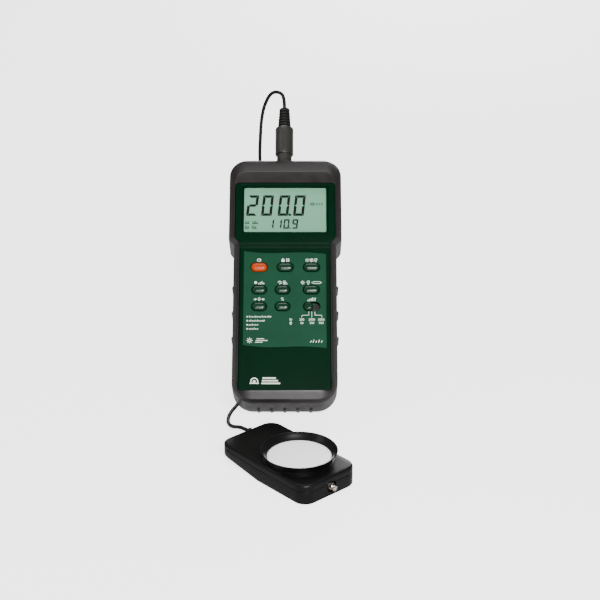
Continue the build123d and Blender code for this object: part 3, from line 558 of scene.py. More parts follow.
class Stock:
    """A mesh shaped in its sub-assembly's own millimetres and then set in place."""

    def __init__(self) -> None:
        """Starts with an empty mesh."""
        self.bm = bmesh.new()

    def outline(
        self, corners: Sequence[Corner], rounds: Sequence[float] = (), segments: int = 8
    ) -> bmesh.types.BMFace:
        """Flat face from a few corners, some of them rounded.

        Args:
            corners: The corner points in order.
            rounds: Radius at each corner, 0 for a sharp one.
            segments: Segments of each rounded corner.

        Returns:
            The face.
        """
        known = set(self.bm.faces)
        verts = [self.bm.verts.new(corner) for corner in corners]
        self.bm.faces.new(verts)
        count = len(corners)
        for i, radius in enumerate(rounds):
            if radius <= 0:
                continue
            here = Vector(corners[i])
            one = Vector(corners[i - 1]) - here
            other = Vector(corners[(i + 1) % count]) - here
            reach = radius / math.tan(one.angle(other) / 2)
            bmesh.ops.bevel(
                self.bm, geom=[verts[i]], offset=reach, offset_type="ABSOLUTE",
                segments=segments, profile=0.5, affect="VERTICES", clamp_overlap=False,
                material=-1,
            )
        return next(face for face in self.bm.faces if face not in known)

    def extrude(self, faces: Iterable[bmesh.types.BMFace], by: Corner) -> list[bmesh.types.BMFace]:
        """Extrudes faces and moves them.

        Args:
            faces: The faces to extrude.
            by: How far, in millimetres.

        Returns:
            The moved faces.
        """
        done = bmesh.ops.extrude_face_region(self.bm, geom=list(faces))["geom"]
        verts = [g for g in done if isinstance(g, bmesh.types.BMVert)]
        bmesh.ops.translate(self.bm, vec=by, verts=verts)
        return [g for g in done if isinstance(g, bmesh.types.BMFace)]

    def bevel(self, edges: Iterable[bmesh.types.BMEdge], width: float, segments: int = 3) -> None:
        """Rounds edges.

        Args:
            edges: The edges.
            width: Width of the rounding.
            segments: Its segments.
        """
        bmesh.ops.bevel(
            self.bm, geom=list(edges), offset=width, offset_type="OFFSET", segments=segments,
            profile=0.5, affect="EDGES", clamp_overlap=False, material=-1,
        )

    def prism(
        self, corners: Sequence[Corner], rounds: Sequence[float], depth: float,
        edge: float = 0.0, segments: int = 8, edge_segments: int = 3,
    ) -> list[bmesh.types.BMFace]:
        """Straight block from an outline, with its far edges rounded.

        Args:
            corners: The outline's corners, at one height.
            rounds: Radius at each corner.
            depth: Signed height along +Z.
            edge: Width of the rounding round the far face.
            segments: Segments of each corner.
            edge_segments: Segments of the edge rounding.

        Returns:
            The far faces, before any rounding.
        """
        face = self.outline(corners, rounds, segments)
        top = self.extrude([face], (0, 0, depth))
        if edge > 0:
            self.bevel({e for f in top for e in f.edges}, edge, edge_segments)
        return top

    def loft(
        self, rings: Sequence[tuple[Sequence[Corner], Sequence[float]]], segments: int = 8
    ) -> None:
        """Closed skin through outlines with the same corners.

        Args:
            rings: Corners and radii of each outline, in order.
            segments: Segments of each corner.
        """
        faces = [self.outline(corners, rounds, segments) for corners, rounds in rings]
        loops = [list(face.edges) for face in faces]
        bmesh.ops.delete(self.bm, geom=faces[1:-1], context="FACES_ONLY")
        for near, far in zip(loops[:-1], loops[1:]):
            bmesh.ops.bridge_loops(self.bm, edges=near + far)

    def spin(self, profile: Sequence[Pair], steps: int = 64) -> None:
        """Body of revolution about +Z.

        Args:
            profile: Radius and height of each point; ends with radius 0 are closed.
            steps: Facets round the axis.
        """
        verts = [self.bm.verts.new((radius, 0, height)) for radius, height in profile]
        edges = [self.bm.edges.new(pair) for pair in zip(verts[:-1], verts[1:])]
        bmesh.ops.spin(
            self.bm, geom=verts + edges, cent=(0, 0, 0), axis=(0, 0, 1), dvec=(0, 0, 0),
            angle=math.tau, steps=steps, use_merge=True, use_duplicate=False,
        )
        bmesh.ops.remove_doubles(self.bm, verts=self.bm.verts[:], dist=1e-4)

    def rod(
        self, radius: float, low: Corner, high: Corner, segments: int = 32, edge: float = 0.0
    ) -> None:
        """Round rod between two points, with rounded ends.

        Args:
            radius: Its radius.
            low: Middle of one end.
            high: Middle of the other end.
            segments: Facets round it.
            edge: Rounding of both ends.
        """
        start, end = Vector(low), Vector(high)
        turn = Vector((0, 0, 1)).rotation_difference(end - start).to_matrix().to_4x4()
        matrix = Matrix.Translation((start + end) / 2) @ turn
        made = bmesh.ops.create_cone(
            self.bm, cap_ends=True, segments=segments, radius1=radius, radius2=radius,
            depth=(end - start).length, matrix=matrix,
        )["verts"]
        if edge > 0:
            caps = [f for f in {f for v in made for f in v.link_faces} if len(f.verts) > 4]
            self.bevel({e for f in caps for e in f.edges}, edge, 4)

    def move(self, matrix: Matrix) -> Stock:
        """Transforms everything.

        Args:
            matrix: The transform.

        Returns:
            This stock.
        """
        bmesh.ops.transform(self.bm, matrix=matrix, verts=self.bm.verts[:])
        return self

    def add(self, other: Stock, matrix: Matrix = Matrix.Identity(4)) -> Stock:
        """Takes in another stock's mesh.

        Args:
            other: The mesh to take in.
            matrix: Where it goes.

        Returns:
            This stock.
        """
        mesh = other.mesh("loose")
        mesh.transform(matrix)
        self.bm.from_mesh(mesh)
        bpy.data.meshes.remove(mesh)
        return self

    def mesh(self, name: str) -> bpy.types.Mesh:
        """The shape as a mesh with its faces outwards.

        Args:
            name: The mesh's name.

        Returns:
            The mesh.
        """
        bmesh.ops.recalc_face_normals(self.bm, faces=self.bm.faces[:])
        mesh = bpy.data.meshes.new(name)
        self.bm.to_mesh(mesh)
        return mesh

    def carve(self, *tools: tuple[Action, Stock]) -> Stock:
        """Cuts or joins other shapes, in order.

        Args:
            tools: Pairs of action and shape.

        Returns:
            This stock, with the result.
        """
        for action, tool in tools:
            base = new_object("carve_base", self.mesh("carve_base"))
            other = new_object("carve_tool", tool.mesh("carve_tool"))
            modifier = base.modifiers.new("carve", "BOOLEAN")
            modifier.operation = action.value
            modifier.solver = "EXACT"
            modifier.object = other
            result = evaluated_mesh(base)
            self.bm.clear()
            self.bm.from_mesh(result)
            for item in (base, other):
                drop_object(item, bpy.data.meshes)
            bpy.data.meshes.remove(result)
        return self

    def piece(
        self, name: str, body: str, finish: str, place: Matrix,
        replaces: Sequence[str] = (), slot: str | None = None,
        soft_edge: float = 0.0, sharp: float = 32.0,
    ) -> bpy.types.Object:
        """Makes the finished object.

        Args:
            name: The piece's name.
            body: The body that it rides on.
            finish: Its finish.
            place: From the shape's millimetres to the row frame.
            replaces: CAD nodes that it stands for.
            slot: The record's material slot, if it isn't the finish's name; not used.
            soft_edge: Width of a live bevel on sharp edges, in millimetres.
            sharp: Angle from which an edge stays sharp, in degrees.

        Returns:
            The object.
        """
        self.move(place)
        mesh = self.mesh(name)
        mesh.materials.append(SHOP.get(finish))
        mesh.shade_smooth()
        mesh.set_sharp_from_angle(angle=math.radians(sharp))
        piece = new_object(name, mesh)
        if soft_edge > 0:
            bevel = piece.modifiers.new("edge", "BEVEL")
            bevel.width = soft_edge / 1000.0
            bevel.segments = 2
            bevel.limit_method = "ANGLE"
            bevel.angle_limit = math.radians(40.0)
            bevel.harden_normals = True
        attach(piece, body)
        if replaces:
            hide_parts(*replaces)
        self.bm.free()
        LOG.info("%s rides %s with %d faces", name, body, len(mesh.polygons))
        return piece


def rectangle(left: float, right: float, low: float, high: float, at: float = 0.0) -> list[Corner]:
    """Corners of a rectangle.

    Args:
        left: Lowest x.
        right: Highest x.
        low: Lowest y.
        high: Highest y.
        at: Height.

    Returns:
        Four corners.
    """
    return [(left, low, at), (right, low, at), (right, high, at), (left, high, at)]


# -------------------------------------------------------------------- meter shape
@dataclass(frozen=True)
class Outline:
    """The meter's front outline: a straight body that steps out into a wider head."""

    length: float = 185.3
    body_width: float = 74.2
    head_width: float = 81.8
    step_height: float = 118.0
    step_rise: float = 4.2
    opening_side: float = 4.5
    opening_bottom: float = 7.3
    opening_top: float = 21.0

    def ring(
        self, side: float, bottom: float, top: float, low_round: float, high_round: float,
        depth: float, step_round: float = 2.0,
    ) -> tuple[list[Corner], list[float]]:
        """The outline moved in from the boot's outline.

        Args:
            side: Inset at the sides.
            bottom: Inset at the lower end.
            top: Inset at the upper end.
            low_round: Radius of the lower corners.
            high_round: Radius of the upper corners.
            depth: Depth behind the boot's front.
            step_round: Radius where the outline steps out.

        Returns:
            Corners and radii.
        """
        body, head = self.body_width / 2 - side, self.head_width / 2 - side
        low, high = bottom, self.length - top
        step = self.step_height - side * 0.2
        right = [(body, low), (body, step), (head, step + self.step_rise), (head, high)]
        points = right + [(-x, y) for x, y in reversed(right)]
        rounds = [low_round, step_round, step_round, high_round]
        return [(x, y, -depth) for x, y in points], rounds + rounds[::-1]


METER_OUTLINE = Outline()


@dataclass(frozen=True)
class Bore:
    """Size of one round opening: its radius, where it runs from and to, and its facets."""

    radius: float
    start: float
    end: float
    facets: int


@dataclass(frozen=True)
class Ports:
    """Where the plug, the data jack and the trimmer's pin hole go into the meter."""

    plug_x: float = -1.0
    depth: float = 17.5
    jack_height: float = 140.0
    pin_height: float = 96.2
    pin_depth: float = 6.8

    def tools(self, plug: Bore, jack: Bore, pin: Bore) -> Stock:
        """Cutting tools for the three openings.

        Args:
            plug: The plug's opening, measured along the meter.
            jack: The data jack's opening, measured across the meter.
            pin: The pin hole, measured across the meter.

        Returns:
            The tools, in the face frame.
        """
        stock = Stock()
        ends = [(self.plug_x, along, -self.depth) for along in (plug.start, plug.end)]
        stock.rod(plug.radius, *ends, plug.facets)
        ends = [(across, self.jack_height, -self.depth) for across in (jack.start, jack.end)]
        stock.rod(jack.radius, *ends, jack.facets)
        ends = [(across, self.pin_height, -self.pin_depth) for across in (pin.start, pin.end)]
        stock.rod(pin.radius, *ends, pin.facets)
        return stock


PORTS = Ports()


@dataclass
class Boot:
    """Rubber boot: sloping lip, ribbed sides, window at the back and lugs for the stand."""

    lip_side: float = 4.2
    lip_bottom: float = 6.9
    lip_top: float = 12.6
    lip: tuple[tuple[float, float, float, float], ...] = (
        (1.0, 1.0, 1.0, 0.0), (0.97, 0.97, 0.97, 0.08), (0.9, 0.84, 0.92, 0.4),
        (0.6, 0.24, 0.58, 2.3), (0.25, 0.06, 0.22, 4.9), (0.08, 0.02, 0.07, 6.1),
        (0.02, 0.0, 0.02, 6.9), (0.0, 0.0, 0.0, 8.2),
    )
    back: tuple[Corner, ...] = (
        (0.0, 0.0, 28.0), (0.0, 0.6, 32.0), (0.0, 2.0, 35.5),
        (0.5, 3.5, 38.2), (1.6, 4.9, 39.5), (3.5, 6.6, 40.0),
    )
    low_round: float = 15.0
    high_round: float = 13.0
    depth: float = 40.0
    window: tuple[float, float, float, float] = (-21.0, 21.0, 12.0, 104.0)
    window_round: float = 4.0
    rib_radius: float = 1.5
    rib_heights: tuple[float, ...] = (51.9, 71.1, 90.3)
    rib_pitch: float = 9.2
    hinge: Pair = (43.6, 120.0)
    lug_near: float = 20.6
    lug_width: float = 4.0

    def skin(self) -> Stock:
        """The outside, from the lip to the back.

        The lip's rows are shares of its insets and a depth. The back's rows are insets and a depth.

        Returns:
            The closed outside shape.
        """
        rings = []
        low_round, high_round = self.low_round, self.high_round
        for side, bottom, top, depth in self.lip:
            insets = (self.lip_side * side, self.lip_bottom * bottom, self.lip_top * top)
            rings.append(METER_OUTLINE.ring(*insets, low_round - 5 * side, high_round - 4 * side, depth))
        for side, bottom, depth in self.back:
            rounds = (low_round - side, high_round - side)
            rings.append(METER_OUTLINE.ring(side, bottom, side, *rounds, depth))
        stock = Stock()
        stock.loft(rings, 10)
        return stock

    def cavity(self) -> Stock:
        """Room for the case, from behind the lip to the back wall.

        Returns:
            The cutting tool.
        """
        stock = Stock()
        corners, rounds = METER_OUTLINE.ring(2.5, 4.7, 6.7, 9.3, 9.3, 4.9)
        stock.prism(corners, rounds, -32.7)
        return stock

    def opening(self) -> Stock:
        """The front opening that shows the green cover.

        Returns:
            The cutting tool.
        """
        stock = Stock()
        edges = METER_OUTLINE
        insets = (edges.opening_side, edges.opening_bottom, edges.opening_top)
        corners, rounds = METER_OUTLINE.ring(*insets, 3.0, 3.0, -1.0, 3.0)
        stock.prism(corners, rounds, -6.5)
        return stock

    def back_window(self) -> Stock:
        """The window for the battery cover.

        Returns:
            The cutting tool.
        """
        stock = Stock()
        stock.prism(rectangle(*self.window, -self.depth - 2.0), [self.window_round] * 4, 6.0)
        return stock

    def ribs(self) -> Stock:
        """Grip ribs on both sides and under the lower end.

        Returns:
            All ribs as one shape.
        """
        stock = Stock()
        half = METER_OUTLINE.body_width / 2
        facets, edge = 20, 1.3
        for height in self.rib_heights:
            for x in (-half, half):
                stock.rod(self.rib_radius, (x, height, -36.2), (x, height, -20.0), facets, edge)
        for i in range(-2, 3):
            x = i * self.rib_pitch
            stock.rod(self.rib_radius, (x, 1.9, -34.5), (x, 0.5, -21.0), facets, edge)
        return stock

    def lugs(self) -> Stock:
        """Two lugs that hold the stand's pin.

        Returns:
            The lugs, in the face frame.
        """
        stock = Stock()
        depth, height = self.hinge
        for side in (-1, 1):
            lug = Stock()
            corners = [
                (-(depth - 4.1), height - 6.4, 0), (-(depth - 4.1), height + 6.4, 0),
                (-(depth + 2.8), height + 2.9, 0), (-(depth + 2.8), height - 2.9, 0),
            ]
            lug.prism(corners, [0, 0, 2.7, 2.7], self.lug_width * side, 0.4)
            turn = Matrix(((0, 0, 1, side * self.lug_near), (0, 1, 0, 0), (1, 0, 0, 0), (0, 0, 0, 1)))
            stock.add(lug, turn)
        return stock

    def sockets(self) -> Stock:
        """Holes for the plug, the data jack and the trimmer."""
        return PORTS.tools(Bore(6.15, 175, 190, 48), Bore(4.95, 34, 44, 40), Bore(0.8, -39, -31, 20))

    def build(self) -> None:
        """Builds the boot.

        The front opening is cut before the room behind it, so that the room is never a closed void.
        """
        shell = self.skin().carve((Action.JOIN, self.lugs()), (Action.CUT, self.opening()))
        for tool in (self.cavity(), self.back_window(), self.sockets()):
            shell.carve((Action.CUT, tool))
        shell.add(self.ribs())
        shell.piece("boot", "meter", "boot_rubber", FACE, ["protective_boot"], sharp=28.0)


@dataclass
class Keypad:
    """Eight keys and the range slide, with their wells."""

    height: float = 6.4
    well: float = 0.55
    hole: float = 0.2
    wide: float = 11.5
    narrow: float = 10.4
    rows: Corner = (99.0, 81.9, 69.3)
    knob_length: float = 6.9
    knob_rings: int = 7
    grip_first: float = 2.6
    grip_pitch: float = 1.2
    flange: float = 1.0
    dome: tuple[Pair, ...] = (
        (0.0, -5.0), (0.0, -1.9), (0.06, -1.45), (0.28, -0.95), (0.62, -0.52), (1.05, -0.2),
        (1.55, 0.05), (2.1, 0.22), (2.7, 0.32), (3.1, 0.35),
    )

    def places(self) -> dict[str, Corner]:
        """Middle and length of each key and of the slot, by its CAD node.

        Returns:
            Across, along and length for each, from the top left; the slot comes last.
        """
        high, middle, low = self.rows
        return {
            "power_key": (-18.5, high, self.wide),
            "hold_key": (0.2, high, self.wide),
            "units_key": (18.9, high, self.wide),
            "record_key": (-18.2, middle, self.narrow),
            "recall_key": (-1.7, middle, self.narrow),
            "lamp_key": (18.7, middle, self.wide),
            "zero_key": (-18.2, low, self.narrow),
            "percent_key": (-1.7, low, self.narrow),
            "range_knob": (18.9, low, self.wide),
        }

    def pill(
        self, stock: Stock, x: float, z: float, length: float, grow: float, at: float, depth: float
    ) -> None:
        """Adds a pill-shaped block.

        Args:
            stock: Where it is added.
            x: Its middle across.
            z: Its middle along the meter.
            length: Its length.
            grow: How much it is grown all round.
            at: Height of its near face.
            depth: Signed height.
        """
        ring = self.ring(x - length / 2 - grow, x + length / 2 + grow, z, self.height / 2 + grow, at)
        stock.prism(*ring, depth, segments=12)

    def ring(
        self, left: float, right: float, z: float, tall: float, at: float
    ) -> tuple[list[Corner], list[float]]:
        """Outline with round ends.

        Args:
            left: Its left end.
            right: Its right end.
            z: Its middle along the meter.
            tall: Half its height, which is nearly the radius of its ends.
            at: Its height.

        Returns:
            Corners and radii.
        """
        return rectangle(left, right, z - tall, z + tall, at), [tall - 0.001] * 4

    def holes(self, grow: float, near: float, far: float) -> Stock:
        """Tools for all key holes and the slot.

        Args:
            grow: How much larger than the keys.
            near: Depth where they start.
            far: Depth where they end.

        Returns:
            The tools.
        """
        stock = Stock()
        for x, z, length in self.places().values():
            self.pill(stock, x, z, length, grow, -far, far - near)
        return stock

    def build(self) -> None:
        """Builds the keys and the slide knob."""
        places = self.places()
        slot = places.pop("range_knob")
        for node, (x, z, length) in places.items():
            key = Stock()
            half, tall = length / 2, self.height / 2
            rings = [
                self.ring(x - half + inset, x + half - inset, z, tall - inset, at)
                for inset, at in self.dome
            ]
            key.loft(rings, 12)
            finish = "key_orange" if node == "power_key" else "key_green"
            flange = Stock()
            self.pill(flange, x, z, length, self.flange, -5.15, 1.0)
            key.add(flange)
            key.piece(node.replace("_key", "_button"), node, finish, FACE, [node])
        self.knob(*slot)

    def knob(self, x: float, z: float, length: float) -> None:
        """Builds the range slide's knob, with grip ribs across its top.

        Args:
            x: The slot's middle across.
            z: The slot's middle along the meter.
            length: The slot's length.
        """
        left = x - length / 2 + 0.1
        right = left + self.knob_length
        tall = self.height / 2
        rings = [
            self.ring(left + inset, right - inset, z, tall - inset, at)
            for inset, at in self.dome[:self.knob_rings]
        ]
        knob = Stock()
        knob.loft(rings, 10)
        for i in range(3):
            at = left + self.grip_first + i * self.grip_pitch
            knob.rod(0.32, (at, z - 1.9, 0.02), (at, z + 1.9, 0.02), 12, 0.1)
        knob.piece("range_slide", "range_knob", "key_green", FACE, ["range_knob"])


KEYPAD = Keypad()


@dataclass
class Cover:
    """Green front cover: raised display hood, sunken keypad field and display opening."""

    gap: float = 0.25
    wall: float = 2.25
    panel: float = 1.6
    hood: float = -0.4
    hood_low: float = 115.4
    plate: float = 2.4
    rim: float = 5.2
    parting: float = 17.5
    window: tuple[float, float, float, float] = (-31.0, 31.0, 124.9, 162.5)
    window_bevel: float = 1.2
    label_half: float = 29.3
    label_high: Pair = (111.3, 109.2)
    label_low: Pair = (40.7, 38.5)
    label_wave: float = 0.75
    label_bow: float = 0.25

    def field(self, front: float, back: float, edge: float) -> Stock:
        """Block in the boot's opening.

        Args:
            front: Depth of its face.
            back: Depth of its back.
            edge: Rounding round the face.

        Returns:
            The block.
        """
        corners, rounds = METER_OUTLINE.ring(*self.insets(self.gap), 2.8, 2.8, back, 3.0)
        stock = Stock()
        stock.prism(corners, rounds, back - front, edge, 6, 4)
        return stock

    def insets(self, more: float) -> Corner:
        """The insets of the boot's opening, each with the same addition."""
        edges = METER_OUTLINE
        return edges.opening_side + more, edges.opening_bottom + more, edges.opening_top + more

    def hood_block(self) -> Stock:
        """The raised field round the display, with a soft slope at its foot.

        Returns:
            The hood.
        """
        hood = self.field(self.hood, self.panel + 0.6, 0.9)
        keep = Stock()
        low = self.hood_low
        panel, hood_top = -self.panel, -self.hood
        profile = [
            (low - 1.9, -3.0), (low - 1.9, panel + 0.02), (low - 1.0, panel + 0.3),
            (low + 0.3, panel + 1.3), (low + 1.6, hood_top - 0.12), (low + 3.0, hood_top + 0.05),
            (low + 3.0, 4.0), (200, 4.0), (200, -3.0),
        ]
        reach = 60
        face = keep.outline([(-reach, along, height) for along, height in profile])
        keep.extrude([face], (2 * reach, 0, 0))
        return hood.carve((Action.KEEP, keep))

    def flange(self) -> Stock:
        """The case's front half behind the boot's lip, hollow.

        Returns:
            The flange.
        """
        corners, rounds = METER_OUTLINE.ring(2.8, 5.0, 7.0, 9.0, 9.0, self.parting)
        stock = Stock()
        stock.prism(corners, rounds, self.parting - self.rim, 0.5)
        room = Stock()
        corners, rounds = METER_OUTLINE.ring(4.8, 7.0, 9.0, 7.0, 7.0, self.parting + 1)
        room.prism(corners, rounds, self.parting + 1 - self.rim - 2.0)
        return stock.carve((Action.CUT, room))

    def display_opening(self) -> Stock:
        """Tapered opening over the display.

        Returns:
            The cutting tool.
        """
        left, right, low, high = self.window
        rings = []
        for inset, height in (
            (-0.7, 2.0), (-0.55, -self.hood + 0.02), (0.0, -self.hood - 0.35),
            (self.window_bevel, -self.panel), (self.window_bevel, -9.0),
        ):
            corners = rectangle(left + inset, right - inset, low + inset, high - inset, height)
            rings.append((corners, [max(0.6, 1.9 - 0.5 * inset)] * 4))
        stock = Stock()
        stock.loft(rings, 6)
        return stock

    def label_block(self, inset: float, near: float, far: float) -> Stock:
        """Block with the overlay's outline, its upper and lower edges bowed.

        Args:
            inset: How far inside the overlay's outline.
            near: Depth of its front.
            far: Depth of its back.

        Returns:
            The block.
        """
        half = self.label_half - inset
        stock = Stock()
        low_left, low_right = self.label_low[0] + inset, self.label_low[1] + inset
        high_left, high_right = self.label_high[0] - inset, self.label_high[1] - inset
        corners = [(-half, low_left), (half, low_right), (half, high_right), (-half, high_left)]
        face = stock.outline([(x, y, -far) for x, y in corners])
        wide = [e for e in face.edges if abs(e.verts[0].co.x - e.verts[1].co.x) > 10]
        bmesh.ops.subdivide_edges(stock.bm, edges=wide, cuts=23)
        for vert in stock.bm.verts:
            share = vert.co.x / half
            vert.co.y += self.label_wave * math.sin(math.pi * share) - self.label_bow * (1 - share * share)
        stock.extrude(list(stock.bm.faces), (0, 0, far - near))
        return stock

    def build(self) -> None:
        """Builds the cover, the overlay, the window and the small marks on them."""
        cover = self.field(self.panel, self.rim + 0.6, 0.5)
        cover.carve((Action.JOIN, self.hood_block()), (Action.JOIN, self.flange()))
        hollow = Stock()
        back = self.rim + 2.5
        corners, rounds = METER_OUTLINE.ring(*self.insets(self.wall), 2.0, 2.0, back)
        hollow.prism(corners, rounds, back - self.panel - self.plate)
        near = self.panel - 1.0
        tools = (
            hollow,
            self.display_opening(),
            self.label_block(-0.12, near, self.panel + 0.5),
            KEYPAD.holes(KEYPAD.hole, near, self.panel + 3.4),
            PORTS.tools(Bore(5.9, 170, 182, 40), Bore(3.95, 33, 42, 40), Bore(0.8, -38, -30, 20)),
        )
        for tool in tools:
            cover.carve((Action.CUT, tool))
        cover.piece("cover", "meter", "cover_green", FACE, ["front_cover"], sharp=30.0)
        self.overlay()
        self.lens()
        self.moulded_dash()

    def overlay(self) -> None:
        """The lighter keypad overlay."""
        label = self.label_block(0.0, self.panel + 0.08, self.panel + 0.48)
        label.carve((Action.CUT, KEYPAD.holes(KEYPAD.well, self.panel - 1.0, self.panel + 2.0)))
        label.piece("overlay", "meter", "label_green", FACE, ["keypad_label"], soft_edge=0.1)

    def lens(self) -> None:
        """The clear display window."""
        left, right, low, high = self.window
        lap = 0.4
        lens = Stock()
        lens.prism(rectangle(left - lap, right + lap, low - lap, high + lap, -2.8), [1.0] * 4, 1.15, 0.1)
        lens.piece("display_lens", "meter", "lens_clear", FACE, ["lcd_window"])

    def moulded_dash(self) -> None:
        """The small raised dash on the lower cover."""
        dash = Stock()
        dash.prism(rectangle(-3.6, 3.9, 30.2, 30.75, -self.panel - 0.3), [0.25] * 4, 0.42, 0.1)
        dash.piece("cover_dash", "meter", "cover_green", FACE)


@dataclass
class Print:
    """Flat printed signs, drawn with strokes on one plane of the meter's face."""

    plane: float
    thickness: float = 0.05

    def __post_init__(self) -> None:
        """Starts with a blank sheet."""
        self.stock = Stock()

    def patch(self, points: Sequence[Pair]) -> None:
        """Adds a filled shape.

        Args:
            points: Its corners across and along the meter.
        """
        self.stock.outline([(x, y, -self.plane) for x, y in points])

    def stroke(self, start: Pair, end: Pair, width: float) -> None:
        """Adds a straight stroke.

        Args:
            start: One end.
            end: The other end.
            width: Its width.
        """
        one, other = Vector(start), Vector(end)
        along = (other - one).normalized() * width / 2
        side = Vector((-along.y, along.x))
        one, other = one - along * 0.5, other + along * 0.5
        self.patch([tuple(one - side), tuple(other - side), tuple(other + side), tuple(one + side)])

    def arc(
        self, middle: Pair, radius: float, width: float,
        start: float = 0.0, sweep: float = 360.0, flatten: float = 1.0,
    ) -> None:
        """Adds a curved stroke or a ring.

        Args:
            middle: Its centre.
            radius: Its radius.
            width: Its width.
            start: Where it starts, in degrees from +X.
            sweep: How far it runs, in degrees.
            flatten: Height as a share of width.
        """
        sheet = Stock()
        near, far = radius - width / 2, radius + width / 2
        verts = [sheet.bm.verts.new((near, 0, 0)), sheet.bm.verts.new((far, 0, 0))]
        edge = sheet.bm.edges.new(verts)
        bmesh.ops.spin(
            sheet.bm, geom=verts + [edge], cent=(0, 0, 0), axis=(0, 0, 1), dvec=(0, 0, 0),
            angle=math.radians(sweep), steps=max(6, int(sweep / 15)), use_merge=sweep >= 360,
            use_duplicate=False,
        )
        turn = Matrix.Rotation(math.radians(start), 4, "Z")
        squeeze = Matrix.Diagonal((1, flatten, 1, 1))
        self.stock.add(sheet, Matrix.Translation((*middle, -self.plane)) @ squeeze @ turn)

    def dot(self, middle: Pair, radius: float) -> None:
        """Adds a filled dot.

        Args:
            middle: Its centre.
            radius: Its radius.
        """
        matrix = Matrix.Translation((*middle, -self.plane))
        bmesh.ops.create_circle(
            self.stock.bm, cap_ends=True, segments=20, radius=radius, matrix=matrix
        )

    def figures(self, text: str, middle: Pair, height: float) -> None:
        """Adds numerals or a per cent sign.

        Args:
            text: The numerals.
            middle: Their centre.
            height: Height of a numeral.
        """
        curve = bpy.data.curves.new("figures", "FONT")
        curve.body = text
        curve.size = height * 1.42
        curve.align_x = "CENTER"
        curve.align_y = "CENTER"
        curve.offset = height * 0.006
        curve.resolution_u = 3
        holder = new_object("figures", curve)
        mesh = evaluated_mesh(holder)
        mesh.transform(Matrix.Translation((*middle, -self.plane)))
        self.stock.bm.from_mesh(mesh)
        drop_object(holder, bpy.data.curves)
        bpy.data.meshes.remove(mesh)

    def piece(self, name: str, finish: str, slot: str) -> None:
        """Gives the print its film thickness and puts it on the meter.

        Args:
            name: The piece's name.
            finish: Its finish.
            slot: The record's slot of the surface under it; passed on, but not used.
        """
        self.stock.extrude(self.stock.bm.faces[:], (0, 0, self.thickness))
        self.stock.piece(name, "meter", finish, FACE, slot=slot)


